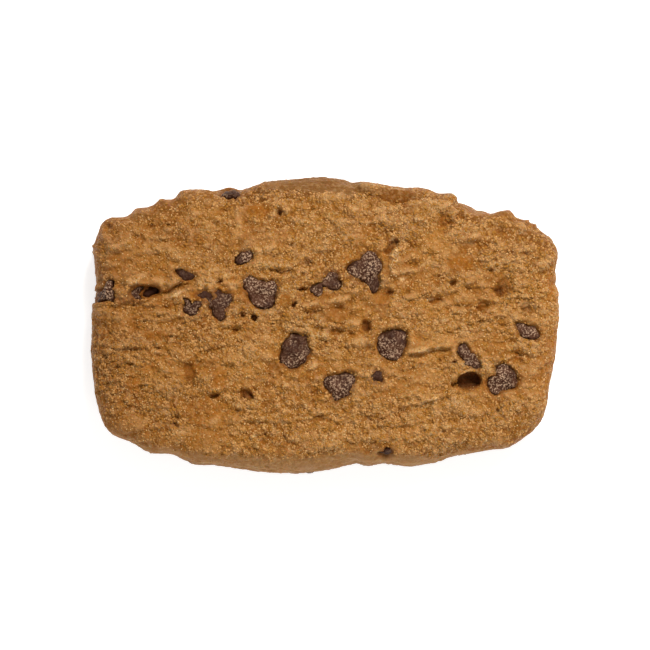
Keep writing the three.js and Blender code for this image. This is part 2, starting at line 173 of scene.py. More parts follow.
def square_bearing(u, v):
    s = np.maximum(np.abs(u), np.abs(v))
    s = np.where(s == 0.0, 1.0, s)
    a, b = u / s, v / s
    long_side = mixed(HALF_WIDTH, CORNER, np.abs(a) ** 2.2)
    side = np.where(np.abs(b) > 0.999999, long_side, CORNER)
    return np.arctan2(b * side, a * HALF_LENGTH)


# The place and outward normal of the smooth top at (x, y).
def top_surface(x, y):
    def height(px, py):
        inset = outline_radius(np.arctan2(py, px)) - np.hypot(px, py)
        share = 1 - np.clip(inset / SHOULDER, 0.0, 1.0)
        return float(shoulder_height(px, py, np.arcsin(share ** (1 / FULLNESS))))

    step = 0.4
    slope_x = (height(x - step, y) - height(x + step, y)) / (2 * step)
    slope_y = (height(x, y - step) - height(x, y + step)) / (2 * step)
    return Vector((x, y, height(x, y))), Vector((slope_x, slope_y, 1.0)).normalized()


# Hollows: (x, y, half length, half width, turn in degrees, depth, how steep its wall is).
HOLLOWS = [
    (-29.3, 5.3, 2.6, 1.05, 6, 1.7, 0.2), (-17.5, 5.0, 1.8, 0.7, -5, 1.5, 0.3),
    (23.5, -9.2, 2.2, 1.6, 10, 2.4, 0.1), (6.6, -0.2, 0.9, 1.2, -20, 1.3, 0.4),
    (-12.8, -11.4, 1.5, 0.8, -28, 1.0, 0.4), (-22.1, -7.9, 1.1, 2.3, 8, 0.9, 0.9),
    (28.9, 5.9, 1.6, 2.0, -35, 0.8, 0.8), (-8.2, -7.5, 2.0, 2.0, 0, 0.5, 0.9),
    (19.4, 16.7, 1.7, 0.7, 5, 1.1, 0.4), (10.7, 12.7, 1.8, 0.75, 52, 1.2, 0.4),
    (25.6, 3.0, 1.3, 0.9, 20, 0.8, 0.6),
    # These are too small for the solid.
    (-11.6, 1.1, 0.6, 0.65, 0, 1.5, 0.3), (-5.1, 3.2, 0.55, 0.8, -20, 1.4, 0.3),
    (-3.4, 5.7, 1.3, 0.45, -4, 1.3, 0.3), (28.3, 5.3, 0.8, 0.9, -20, 0.7, 0.5),
    (32.5, 2.9, 1.2, 1.0, 30, 0.5, 0.8), (31.4, -5.2, 0.7, 1.0, 10, 0.7, 0.5),
    (10.5, 5.1, 0.9, 0.7, 30, 1.0, 0.5), (1.7, -1.3, 1.2, 0.9, 0, 0.7, 0.7),
    (29.2, 2.8, 0.6, 0.5, 10, 0.6, 0.5), (-17.2, 6.8, 0.6, 0.4, 10, 0.9, 0.4),
    (-18.0, -11.6, 0.9, 0.6, 20, 0.8, 0.5), (-13.6, 1.5, 0.5, 0.6, 0, 0.8, 0.5),
    (-14.8, -1.0, 0.6, 0.5, 0, 0.7, 0.5), (-33.2, 4.2, 1.3, 0.7, 0, 0.45, 0.6),
    (-2.7, 10.0, 0.9, 0.8, 0, 0.45, 0.6), (27.9, -14.2, 0.8, 0.5, 35, 0.8, 0.5),
    (-33.3, 14.3, 3.2, 0.9, 3, 0.35, 0.8), (30.5, 15.0, 4.2, 0.8, -12, 0.4, 0.8),
    (-35.4, 15.9, 0.9, 0.6, 0, 0.3, 0.8), (11.6, 20.8, 5.2, 0.6, -5, 0.7, 0.8),
    (20.8, 6.7, 0.8, 0.5, 20, 0.9, 0.4), (18.0, 3.8, 1.3, 0.5, 10, 0.6, 0.6),
    (37.0, 6.4, 0.7, 1.3, 0, 0.6, 0.6), (22.3, 17.6, 1.0, 0.6, -10, 0.6, 0.6),
    (-7.5, 18.2, 0.6, 0.7, 30, 1.0, 0.4), (-10.5, 21.6, 2.2, 0.6, -8, 0.5, 0.8),
    (20.9, -9.7, 0.9, 0.3, 25, 1.3, 0.3),
]

# Ledges torn by the wire: its path towards +X, its height and how far back it fades.
LEDGES = [
    ([(16.5, 4.4), (19.5, 5.0), (22.5, 6.1), (25.1, 7.4)], 0.4, 2.2),
    ([(13.0, -4.8), (16.3, -4.2), (21.3, -3.3)], 0.5, 2.4),
    ([(10.9, -14.3), (13.9, -13.2), (19.6, -11.2)], 0.35, 2.4),
    ([(-4.3, 2.0), (-0.9, 2.5), (2.1, 3.0), (5.9, 4.2)], 0.3, 1.8),
    ([(-37.6, 3.8), (-31.5, 3.4), (-26.2, 5.4), (-22.2, 7.2)], 0.7, 2.6),
    ([(4.8, 23.0), (7.3, 21.5), (10.4, 20.6), (16.3, 20.4)], 0.7, 2.8),
    ([(19.5, 13.9), (24.0, 13.2), (28.5, 13.7)], 0.35, 2.2),
    ([(-35.0, 11.7), (-32.8, 12.1), (-31.0, 12.0)], 0.3, 1.8),
    ([(-35.0, -3.7), (-30.6, -3.8), (-26.0, -3.3)], 0.35, 2.0),
    ([(-18.8, -11.9), (-16.4, -10.6), (-13.4, -10.9)], 0.35, 2.0),
]
LEDGE_DROP = 0.9
LEDGE_FRONT = 0.6

# Creases and small tears, too fine for the solid: (x, y, half length, turn in degrees, how
# far it arches, depth, width). The dough behind each stands up in a lip over it.
CREASES = [
    (-27.4, 13.6, 1.9, 0, 0.25, 0.6, 0.35), (-21.0, 11.1, 1.6, -4, 0.1, 0.6, 0.35),
    (-19.7, 14.4, 0.6, -20, 0.0, 0.55, 0.3), (-11.8, 18.2, 0.8, 15, 0.0, 0.55, 0.3),
    (-7.6, 18.1, 0.7, 50, 0.3, 1.0, 0.35), (-5.6, 13.0, 0.5, 10, 0.0, 0.8, 0.4),
    (-8.2, 11.3, 0.5, 50, 0.0, 0.8, 0.25), (-14.3, 9.6, 0.8, 25, 0.0, 0.6, 0.25),
    (-6.7, 9.0, 1.8, -5, 0.55, 0.7, 0.35), (-15.6, 7.6, 1.7, 10, 0.5, 0.7, 0.3),
    (-13.8, 19.5, 0.4, 45, 0.0, 0.6, 0.3), (0.4, 16.7, 0.6, 10, 0.0, 0.55, 0.35),
    (7.5, 16.1, 1.1, 5, 0.2, 0.55, 0.3), (19.4, 18.1, 1.2, 15, -0.2, 1.2, 0.5),
    (24.2, 13.5, 1.0, 12, 0.0, 0.9, 0.35), (27.4, 13.2, 0.9, 0, 0.0, 0.55, 0.3),
    (26.8, 8.8, 0.9, 15, 0.0, 0.8, 0.3), (20.7, 6.6, 0.6, 25, 0.0, 0.8, 0.3),
    (23.2, 6.1, 0.7, 20, 0.0, 0.55, 0.35), (29.5, -1.0, 1.1, 12, 0.0, 0.55, 0.4),
    (4.2, 1.9, 1.2, 15, -0.3, 0.55, 0.35), (0.1, 0.7, 0.6, 30, 0.0, 0.55, 0.3),
    (-2.6, 2.0, 1.4, -10, -0.3, 0.55, 0.4), (15.0, -5.4, 2.4, 5, -0.2, 0.55, 0.7),
    (3.4, -3.6, 0.6, -30, 0.0, 0.6, 0.35), (-23.8, 6.3, 1.5, 42, 0.0, 1.5, 0.5),
    (-28.9, 0.7, 0.9, 0, 0.2, 0.65, 0.4), (-26.8, 1.8, 0.7, 20, 0.0, 0.55, 0.3),
    (-23.9, -0.9, 0.7, -5, 0.2, 0.55, 0.35), (-23.7, -3.4, 0.5, 30, 0.0, 0.55, 0.3),
    (-31.9, -6.2, 0.4, 0, 0.0, 0.65, 0.3), (-29.7, -10.05, 1.5, 0, 0.0, 0.55, 0.3),
    (-26.0, -12.2, 1.5, -14, 0.0, 0.55, 0.3), (-24.7, -13.1, 0.5, -60, 0.0, 0.55, 0.3),
    (-29.6, -14.6, 0.7, -10, 0.0, 0.55, 0.3), (-24.2, -16.3, 0.5, -30, 0.0, 0.8, 0.35),
    (-19.4, -16.8, 0.4, 20, 0.0, 0.8, 0.3), (-16.3, -10.6, 0.9, 0, 0.0, 0.55, 0.35),
    (-16.6, -14.1, 0.4, 0, 0.0, 0.6, 0.3), (-14.4, -14.0, 0.4, -20, 0.0, 0.6, 0.3),
    (-8.2, -16.3, 0.4, 0, 0.0, 0.55, 0.35), (-6.6, -18.3, 0.5, -30, 0.0, 0.8, 0.25),
    (-2.2, -11.4, 1.2, 32, 0.0, 0.55, 0.4), (12.5, -8.8, 0.8, 35, 0.0, 0.55, 0.35),
    (16.4, -13.9, 0.8, 60, 0.0, 0.55, 0.3), (25.6, -14.9, 0.5, 15, 0.0, 0.7, 0.25),
    (19.3, -11.8, 0.8, 12, 0.0, 0.55, 0.3), (31.3, -14.3, 0.4, 20, 0.0, 0.7, 0.25),
    (-2.4, 2.6, 2.0, 5, 0.2, 0.6, 0.5), (2.6, 3.3, 2.2, 14, -0.2, 0.9, 0.5),
]
LIP_SHARE = 0.35  # how high the lip stands, for a crease one deep

# Lesser tears of the same kind, at random all over the cut face, and shallower towards -Y.
tear_dice = np.random.default_rng(38)
TEARS = 280
TEAR_FIELD = (-37, 37), (-21, 22)
TEAR_TURN = (6, 22)  # its mean and its spread
TEAR_ARCH = (0.0, 0.35)
TEAR_LONG = (0.4, 1.6)
TEAR_DEEP = (0.12, 0.42)
TEAR_WIDE = (0.28, 0.6)
NEAR_TEAR = 0.8
for n in range(TEARS):
    tear_at = [tear_dice.uniform(*span) for span in TEAR_FIELD]
    tear_long = tear_dice.uniform(*TEAR_LONG)
    tear_turn = tear_dice.normal(*TEAR_TURN)
    tear_arch = tear_dice.normal(*TEAR_ARCH)
    tear_deep = tear_dice.uniform(*TEAR_DEEP) * (1.0 if tear_at[1] > 0 else NEAR_TEAR)
    tear_wide = tear_dice.uniform(*TEAR_WIDE)
    CREASES.append((*tear_at, tear_long, tear_turn, tear_arch, tear_deep, tear_wide))

# Mounds of dough that the wire pushed up, which catch the light: (x, y, half length, half
# width, turn in degrees, how high).
MOUNDS = [
    (-9.7, 12.0, 1.4, 0.7, 25, 0.6), (-1.3, 12.3, 0.6, 0.6, 0, 0.4), (-4.0, 16.8, 2.0, 0.5, -8, 0.4),
    (-8.7, 17.8, 0.6, 0.6, 0, 0.35), (-19.2, 12.9, 0.7, 0.6, 0, 0.4), (-14.0, 16.3, 1.0, 0.6, -45, 0.3),
    (-12.0, 19.1, 1.4, 0.6, 5, 0.35), (-33.5, 12.9, 2.7, 0.5, 12, 0.35), (-24.5, 5.0, 1.8, 0.6, 20, 0.5),
    (-30.7, 7.4, 2.2, 0.6, 25, 0.45), (-26.7, 7.0, 1.5, 0.6, -20, 0.4), (-19.3, 6.8, 1.7, 0.9, 0, 0.5),
    (-15.0, 6.2, 0.9, 0.8, 0, 0.4), (-14.7, 2.2, 0.6, 0.6, 0, 0.4), (-2.7, -0.8, 1.1, 0.6, -60, 0.45),
    (-1.3, -1.6, 0.7, 0.6, 0, 0.4), (5.6, -2.9, 1.2, 0.9, 0, 0.4), (-2.0, -6.6, 0.7, 0.9, 0, 0.35),
    (11.3, 11.5, 0.7, 1.1, -40, 0.5), (11.2, 8.5, 0.5, 0.7, 0, 0.35), (15.5, -4.1, 1.6, 0.5, 8, 0.4),
    (23.6, -7.5, 1.3, 0.5, 12, 0.5), (26.3, -7.3, 0.7, 1.1, 0, 0.45), (34.0, -3.9, 0.6, 0.9, 0, 0.35),
    (-25.0, -2.7, 0.5, 0.9, -45, 0.35), (-32.0, -5.2, 0.7, 0.6, 0, 0.35), (-26.3, -7.4, 0.9, 0.9, 0, 0.3),
    (-18.3, -15.7, 0.7, 0.6, 0, 0.35), (29.3, 2.7, 0.6, 0.9, -40, 0.35), (14.8, 17.0, 0.5, 0.8, 30, 0.35),
    (-9.5, 9.7, 2.6, 0.7, -4, 0.4), (-21.8, 2.3, 0.6, 0.6, 0, 0.4), (-27.8, 11.9, 2.2, 0.6, 10, 0.35),
    (-18.8, 8.9, 2.0, 0.5, 5, 0.3), (20.8, 14.8, 2.0, 0.5, 8, 0.3), (24.4, 14.4, 1.6, 0.5, 12, 0.3),
    (18.9, 5.8, 1.6, 0.5, 20, 0.3), (22.8, 8.0, 1.3, 0.5, 20, 0.3), (5.0, 5.6, 1.2, 0.6, 30, 0.3),
    (-12.0, -3.6, 1.8, 1.2, 10, 0.25), (4.5, 0.2, 1.4, 0.8, 20, 0.3), (21.0, -12.9, 2.2, 0.9, 20, 0.3),
    (16.8, -8.6, 2.4, 1.0, 10, 0.25), (30.5, -12.9, 1.6, 1.0, 30, 0.25),
    (-5.6, -10.0, 1.6, 0.8, 10, 0.25), (8.8, -13.6, 1.6, 0.8, 30, 0.25), (-30.4, -1.8, 1.6, 0.6, 5, 0.25),
    (1.8, 20.4, 3.0, 0.5, 3, 0.25), (9.6, 17.2, 2.0, 0.6, -4, 0.3), (30.2, 10.0, 1.4, 0.8, -10, 0.25),
]

# The chips in the top face: where, half its thickness, how far it stands out of the dough, how
# much of its face has bloomed pale, and its outline from where it is.
TOP_CHIPS = [
    ((-10.4, 5.4), 1.1, 0.4, 0.9, [(-3.2, 1.5), (-2.9, 2.4), (-2.1, 2.7), (-1.4, 2.3), (-0.4, 1.7),
        (0.7, 1.5), (1.8, 1.9), (2.7, 1.5), (2.9, 0.4), (2.3, -0.6), (2.2, -1.9), (1.5, -2.7),
        (0.2, -2.9), (-0.8, -2.5), (-1.7, -1.5), (-2.2, -0.4), (-2.9, 0.6)]),
    ((-17.2, 3.0), 0.9, 0.2, 0.5, [(-3.0, 1.5), (-1.5, 2.1), (-0.4, 2.8), (0.5, 2.0), (2.3, 1.9),
        (1.7, 0.3), (1.0, -0.9), (0.9, -2.1), (0.1, -2.5), (-0.6, -1.9), (-1.4, -0.5), (-2.3, 0.7)]),
    ((-19.4, 4.5), 0.5, 0.05, 0.1, [(-1.7, 0.3), (-0.8, 0.8), (0.5, 0.8), (1.2, 0.1), (0.5, -0.6),
        (-0.7, -0.5)]),
    ((-21.9, 2.6), 0.8, 0.3, 0.5, [(-1.6, 2.2), (-0.9, 1.5), (-0.6, 0.7), (0.2, 0.5), (0.8, 0.8),
        (1.6, 1.7), (2.1, 1.5), (1.5, 0.1), (0.5, -1.1), (-0.5, -1.0), (-1.2, 0.0)]),
    ((-13.2, 10.9), 0.7, 0.3, 0.9, [(-1.4, -0.9), (-0.8, 0.5), (0.3, 1.2), (1.3, 0.5), (1.0, -0.3),
        (0.2, -0.8), (-0.6, -1.1)]),
    ((-22.9, 8.0), 0.6, 0.05, 0.1, [(-1.6, 0.8), (-0.7, 0.9), (0.1, 0.6), (1.7, -0.1), (1.5, -0.4),
        (0.5, -0.7), (-0.6, -0.3), (-1.2, 0.1)]),
    ((-36.0, 4.9), 1.0, 0.1, 1.0, [(-2.2, 0.2), (-1.1, 0.5), (-0.1, 0.9), (0.7, 2.4), (1.2, 2.9),
        (1.4, 0.9), (1.6, -1.5), (0.7, -0.8), (-0.3, -1.1), (-1.2, -0.5), (-2.1, -0.9)]),
    ((-31.0, 4.8), 0.7, -0.45, 0.4, [(-0.9, -1.3), (-0.9, 0.1), (-0.3, 1.1), (0.8, 1.5), (1.6, 1.5),
        (0.8, 0.7), (0.4, 0.0), (1.1, -0.7), (0.3, -1.1)]),
    ((-28.3, 5.4), 0.5, -1.1, 0.0, [(-1.5, -0.7), (-0.6, 0.4), (0.3, 0.8), (1.4, 0.3), (1.0, -0.3),
        (0.0, -0.7)]),
    ((1.1, 7.1), 0.9, 0.3, 1.0, [(-1.6, -0.6), (-1.2, 0.7), (-0.4, 1.6), (0.7, 1.5), (1.2, 0.2),
        (1.5, -1.0), (0.4, -1.6), (-0.9, -1.2)]),
    ((-1.4, 5.6), 0.7, 0.15, 0.7, [(-1.1, 0.1), (-0.2, 0.6), (1.2, 1.0), (0.8, 0.1), (0.2, -1.0),
        (-0.5, -0.7)]),
    ((6.9, 8.6), 1.1, 0.35, 0.8, [(-3.5, 0.6), (-2.8, 1.5), (-1.1, 1.7), (-0.9, 2.9), (-0.1, 3.7),
        (1.0, 3.5), (1.7, 2.6), (1.7, -0.5), (1.9, -1.6), (1.7, -3.2), (0.6, -3.7), (0.3, -2.5),
        (-0.5, -1.7), (-1.5, -1.2), (-2.9, -0.6)]),
    ((-5.0, -4.4), 1.2, 0.4, 0.9, [(-1.2, 2.1), (-0.5, 2.9), (0.7, 2.7), (2.1, 2.4), (2.2, 0.9),
        (2.6, -0.3), (1.7, -1.6), (0.7, -2.4), (-0.2, -3.1), (-1.3, -2.5), (-2.4, -1.9), (-2.3, -0.1),
        (-1.8, 1.2)]),
    ((2.3, -10.2), 1.1, 0.3, 0.8, [(-2.6, 1.2), (-2.0, 1.8), (-0.3, 1.9), (0.6, 2.2), (1.4, 2.7),
        (2.3, 2.0), (2.5, 1.0), (2.2, -0.2), (1.6, -1.4), (0.2, -1.8), (-0.6, -2.6), (-1.4, -1.6),
        (-1.8, -0.5), (-2.5, 0.3)]),
    ((8.6, -8.4), 0.8, 0.2, 0.12, [(-0.8, 0.7), (-0.2, 1.2), (0.6, 0.8), (0.7, -0.1), (0.9, -0.8),
        (-0.1, -1.0), (-0.9, -0.7)]),
    ((11.0, -3.4), 1.2, 0.4, 0.8, [(-2.6, 0.4), (-2.2, 1.6), (-1.2, 2.3), (0.0, 2.6), (1.4, 2.4),
        (2.3, 2.1), (2.3, 1.1), (2.1, 0.0), (1.8, -1.0), (1.3, -1.9), (0.5, -2.4), (-0.6, -2.4),
        (-1.9, -1.9), (-2.2, -0.7)]),
    ((23.3, -5.2), 0.9, 0.3, 0.6, [(-2.0, 1.0), (-0.9, 2.3), (0.1, 1.6), (0.3, 0.6), (1.2, -0.2),
        (2.0, -1.6), (1.8, -2.3), (0.6, -1.7), (-0.4, -1.6), (-0.8, -0.7), (-1.6, 0.2)]),
    ((28.8, -9.0), 1.1, 0.4, 1.0, [(-2.5, -0.2), (-1.9, 0.6), (-1.0, 0.7), (-1.2, 1.9), (-0.2, 2.6),
        (1.2, 2.2), (2.0, 1.2), (2.6, -0.3), (2.1, -1.2), (1.0, -1.4), (-0.4, -2.0), (-1.2, -2.6),
        (-2.0, -1.9), (-2.3, -1.1)]),
    ((32.9, -1.0), 0.8, 0.3, 1.0, [(-2.0, 1.3), (-1.0, 1.2), (0.1, 0.7), (1.3, 0.4), (2.0, -1.0),
        (1.4, -1.4), (0.1, -1.2), (-1.0, -0.9), (-1.6, -0.1)]),
    ((-15.6, 21.4), 0.7, 0.3, 0.6, [(-1.8, -0.1), (-1.0, 0.8), (0.5, 0.9), (1.6, 0.4), (1.5, -0.8),
        (0.3, -0.7), (-0.8, -0.4)]),
    ((9.9, -20.9), 0.45, -0.1, 0.3, [(-1.4, -0.1), (-0.2, 0.1), (1.0, 0.5), (1.2, 0.2), (0.5, -0.5),
        (-0.5, -0.4)]),
]

# Dough stained by molten chocolate away from the chips, with painted shade in hollows and
# shaded places: (x, y, half length, half width, how much of it).
STAINS_AND_SHADE = [
    (-13.6, 1.7, 0.7, 0.6, 0.7), (-33.2, 4.2, 1.6, 0.8, 0.6), (10.5, 5.1, 0.9, 0.7, 0.4),
    (29.0, 6.0, 1.6, 1.9, 0.5), (33.0, 3.0, 2.2, 2.0, 0.45), (-2.7, 10.1, 0.9, 0.8, 0.7),
    (-17.2, 6.8, 0.7, 0.5, 0.6), (23.5, -9.3, 2.3, 1.6, 0.7), (-22.3, -8.7, 0.9, 2.6, 0.35),
    (-12.7, -11.5, 1.6, 0.9, 0.85), (6.6, -0.1, 0.7, 0.9, 0.4), (-8.2, -7.1, 0.8, 0.6, 0.2),
    (-6.0, 0.6, 3.4, 3.4, 0.24), (8.8, 3.6, 2.6, 3.6, 0.18), (0.8, 1.6, 4.2, 1.8, 0.26),
    (9.8, 7.0, 1.6, 3.2, 0.45), (13.5, -8.0, 3.6, 2.0, 0.22), (-35.6, 8.0, 2.2, 3.0, 0.15),
    (-34.0, -1.6, 2.6, 2.6, 0.12), (-34.0, -12.5, 3.0, 3.0, 0.12), (5.8, 12.8, 1.8, 0.6, 0.3),
    (33.5, 11.5, 3.6, 3.6, 0.2), (-14.5, 3.3, 2.0, 1.4, 0.2), (-25.0, 7.2, 1.6, 0.8, 0.25),
    (7.4, -3.4, 1.8, 2.6, 0.22), (-13.0, 12.8, 2.2, 1.2, 0.22), (5.6, 6.4, 1.8, 1.8, 0.4),
]

# Where the dough is made paler: (x, y, half length, half width, how much).
PALE_PLACES = [
    (14.0, -4.0, 24.0, 15.0, 0.22), (-13.0, -6.6, 4.6, 3.6, 0.5), (22.6, -7.0, 3.6, 3.4, 0.45),
    (-2.4, -1.8, 2.6, 2.6, 0.5), (18.0, -1.0, 6.0, 7.0, 0.4), (18.0, 12.6, 3.4, 3.4, 0.4),
    (19.0, -12.5, 4.6, 3.6, 0.25), (-9.0, 12.0, 3.6, 1.6, 0.3), (1.8, -5.6, 4.0, 2.0, 0.3),
    (-27.0, -8.0, 4.4, 4.6, 0.25), (7.5, -17.0, 3.2, 2.2, 0.3),
]

# Pale flakes of dough that stand up, their paleness also a painted highlight: (x, y, half
# length, half width, turn in degrees).
FLAKES = [
    (11.5, 11.7, 1.1, 0.5, 45), (11.3, 10.3, 0.5, 0.3, 0), (10.8, 8.8, 0.8, 0.25, -70),
    (-23.5, 9.1, 0.7, 0.35, 0), (16.9, 4.0, 0.8, 0.25, 12), (16.0, -4.3, 1.2, 0.3, 5),
    (18.2, -3.8, 0.7, 0.3, 10), (-24.2, 4.9, 1.2, 0.2, 35), (17.0, -12.2, 1.8, 0.25, 28),
    (-30.8, 6.9, 1.4, 0.3, 30), (12.5, 7.4, 0.7, 0.3, 0), (-11.8, -18.3, 0.5, 0.3, 10),
]

SOCKET_DEPTH = 0.75  # how far the dough drops into the gap round a chip
SOCKET_RIM = 0.38  # how far out from the chip that gap starts

LUMPS = [(0.28, 5.5, 3.8), (0.16, 2.4, 2.0)]  # how high, how long, how wide
# Torn scales: from one to the next, how high, the share of that which the edge takes, shift.
SCALES = (3.3, 0.5, 0.16, 0.0)
SMALL_SCALES = (1.7, 0.34, 0.22, 4.37)
SIDE_CALM = 0.45  # how much of the lumps is left on the sides
FIRM = 2.0  # below this height the relief fades out, towards the flat underside


# Where (x, y) is along and across a turned form, in its half lengths and half widths.
def along_across(x, y, cx, cy, long, wide, turn):
    angle = math.radians(turn)
    dx, dy = x - cx, y - cy
    along = (dx * math.cos(angle) + dy * math.sin(angle)) / long
    return along, (dy * math.cos(angle) - dx * math.sin(angle)) / wide


def hollow_height(x, y):
    height = np.zeros_like(x)
    for *form, depth, wall in HOLLOWS:
        away = np.hypot(*along_across(x, y, *form))
        height -= depth * (1 - ease(0.9 - 0.55 * wall, 1.0 + 0.15 * wall, away))
    return height


# The ledges' height, and how far each lip is dragged forward over the dough in front of it.
def ledge_height(x, y):
    height = np.zeros_like(x)
    drag = np.zeros(x.shape + (2,))
    for path, high, back in LEDGES:
        nearest = np.full(x.shape, np.inf)
        behind = np.zeros(x.shape, bool)
        along = np.zeros_like(x)
        way = np.zeros(x.shape + (2,))
        for i, ((ax, ay), (bx, by)) in enumerate(zip(path, path[1:])):
            ex, ey = bx - ax, by - ay
            t = np.clip(((x - ax) * ex + (y - ay) * ey) / (ex * ex + ey * ey), 0.0, 1.0)
            distance = np.hypot(x - ax - t * ex, y - ay - t * ey)
            closer = distance < nearest
            nearest = np.where(closer, distance, nearest)
            behind = np.where(closer, ex * (y - ay) > ey * (x - ax), behind)
            along = np.where(closer, (i + t) / (len(path) - 1), along)
            forward = np.array([ey, -ex]) / math.hypot(ex, ey)
            way = np.where(closer[..., None], forward, way)
        taper = ease(0.0, 0.15, along) * (1 - ease(0.85, 1.0, along))
        lip = 1 - ease(0.0, back, nearest)
        sunk = -LEDGE_DROP * (1 - ease(0.0, LEDGE_FRONT * back, nearest))
        step = ease(-0.4, 0.3, np.where(behind, nearest, -nearest))
        height += high * taper * mixed(sunk, lip, step)
        pull = np.where(behind, np.exp(-(nearest / 0.45) ** 2), 0.0) * taper * high * 0.15
        drag += pull[..., None] * way
    return height, drag


def mound_height(x, y):
    height = np.zeros_like(x)
    for *form, high in MOUNDS:
        along, across = along_across(x, y, *form)
        height = np.maximum(height, high * np.exp(-0.8 * (along ** 2 + across ** 2) ** 1.5))
    return height


def crease_height(x, y):
    height = np.zeros_like(x)
    for cx, cy, long, turn, arch, deep, wide in CREASES:
        close = (np.abs(x - cx) < long + 1.5) & (np.abs(y - cy) < long + 1.5)
        along, off = along_across(x[close], y[close], cx, cy, long, 1.0, turn)
        across = (off + arch * along ** 2) / wide
        taper = 1 - ease(0.3, 1.15, np.abs(along))
        cleft = np.exp(-(across / np.where(across > 0, 0.8, 1.6)) ** 2)
        lip = np.exp(-((across - 1.5) / 1.1) ** 2)
        height[close] += taper * deep * (LIP_SHARE * lip - 0.8 * cleft)
    return height


# Each scale thickens towards -Y and ends in a ragged edge, which is sharp in places.
def scale_height(x, y, pitch, lift, edge, shift):
    drift = 1.9 * uneven(x / 9 + 3 + shift, y / 5) + 0.8 * uneven(x / 3.6 + shift, y / 2.4 + 8)
    phase = (y + drift - 0.2 * np.maximum(0.0, x - 6)) / pitch + shift
    back = phase - np.floor(phase)
    patch = 0.5 + 0.5 * uneven(x / 7 + 11 + 3 * shift, y / 4 + 5)
    height = lift * patch * ((1 - back) * ease(0.0, edge, back) - 0.35)
    torn = ease(0.1, 0.6, uneven(x / 3.4 + 40 + shift, y / 2.2 + 12))
    lip = torn * np.exp(-((back - edge) / (1.2 * edge)) ** 2)
    return height, lip


# Rounded clods of about one size: how far (x, y) is from the middle of its clod and from the
# crease round it, both as a share of that size.
def clods(x, y, size, seed):
    gx, gy = x / size, y / size
    i, j = np.floor(gx), np.floor(gy)
    nearest = np.full(x.shape, 9.0)
    second = np.full(x.shape, 9.0)
    for di in (-1, 0, 1):
        for dj in (-1, 0, 1):
            px = i + di + 0.5 + 0.45 * lattice(i + di, j + dj, seed)
            py = j + dj + 0.5 + 0.45 * lattice(i + di, j + dj, seed + 1)
            away = np.hypot(gx - px, gy - py)
            second = np.minimum(second, np.maximum(nearest, away))
            nearest = np.minimum(nearest, away)
    return nearest, second - nearest


# A chip's radius at a bearing from its place, through the points of its outline.
def chip_radius(outline, bearing):
    knot = np.array(outline)
    angles = np.arctan2(knot[:, 1], knot[:, 0])
    order = np.argsort(angles)
    radii = np.hypot(knot[:, 0], knot[:, 1])[order]
    angles = angles[order]
    angles = np.concatenate([[angles[-1] - TURN], angles, [angles[0] + TURN]])
    radii = np.concatenate([[radii[-1]], radii, [radii[0]]])
    spread_out = (-0.08, -0.04, 0.0, 0.04, 0.08)
    wrapped = [(bearing + d + math.pi) % TURN - math.pi for d in spread_out]
    return sum(np.interp(b, angles, radii) for b in wrapped) / len(spread_out)


def dough_relief(x, y, z, facing):
    cut = ease(0.55, 0.95, facing)
    calm = mixed(SIDE_CALM, 1.0, cut)
    lumps = sum(high * uneven(x / long, y / wide, z / wide) for high, long, wide in LUMPS)
    rag_x = x + 0.25 * uneven(x / 1.3, y / 1.1, 3) + 0.10 * uneven(x / 0.5, y / 0.5, 5)
    rag_y = y + 0.30 * uneven(x / 1.4, y / 1.3, 7) + 0.10 * uneven(x / 0.6, y / 0.6, 9)
    scales, lip = scale_height(rag_x, rag_y, *SCALES)
    small, small_lip = scale_height(rag_x, rag_y, *SMALL_SCALES)
    torn = ease(-0.15, 0.45, uneven(x / 3.1 + 60, y / 1.5 + 2))
    small = small * torn
    ledges, drag = ledge_height(rag_x, rag_y)
    top = ease(0.15, 0.5, facing)
    height = lumps * calm + cut * (scales + small)
    torn_away = ledges + hollow_height(rag_x, rag_y) + crease_height(rag_x, rag_y)
    torn_away = torn_away + mound_height(rag_x, rag_y)
    height = height + top * torn_away
    drag = drag * top[..., None]
    drag[..., 1] -= cut * (0.1 * lip + 0.06 * torn * small_lip)
    return height, drag


# Loose, granular crumb against smooth patches where the wire smeared the dough.
def crumbliness(x, y):
    wide = uneven(x / 6.5 + 20, y / 3.4 + 7)
    narrow = uneven(x / 2.4 + 5, y / 1.7 + 31)
    return ease(-0.75, 0.25, wide + 0.5 * narrow)


# Smears of bare caramel-coloured dough: (x, y, half length, half width).
SMEARS = [
    (-20.9, 4.5, 1.4, 1.2), (-6.6, 4.0, 1.3, 1.0), (-28.3, -7.1, 1.6, 0.9), (-27.6, -1.7, 2.2, 0.8),
    (37.0, 5.6, 0.9, 1.6), (12.0, 21.4, 4.5, 0.9), (-36.6, 16.0, 1.6, 1.0), (9.0, 4.5, 1.8, 1.6),
    (-11.0, 18.6, 2.6, 1.2), (29.4, 17.6, 1.6, 0.8), (-24.0, 20.2, 1.6, 0.7), (-31.0, -9.8, 1.4, 1.6),
    (-17.0, -8.9, 1.4, 1.6), (1.5, 1.2, 2.0, 0.9), (22.0, 10.0, 3.0, 1.6), (-3.0, -8.6, 1.6, 1.0),
]


# How much of (x, y) the patches cover: each is (x, y, half length, half width, how much).
def patch_share(x, y, patches, inner, ragged=0.0):
    covered = np.zeros_like(x)
    for cx, cy, long, wide, share in patches:
        away = np.hypot((x - cx) / long, (y - cy) / wide) + ragged
        covered = np.maximum(covered, share * (1 - ease(inner, 1.2, away)))
    return covered


# The dough's shell: a warped square of cells over the top and shoulder, rows of cells down
# the foot, and a coarser square of cells for the underside, joined to it one cell to three.
CELLS_LONG = 324
CELLS_WIDE = 198
FOOT_ROWS = 20
BASE_LONG = CELLS_LONG // 3
BASE_WIDE = CELLS_WIDE // 3
BASE_SHARE = 0.985


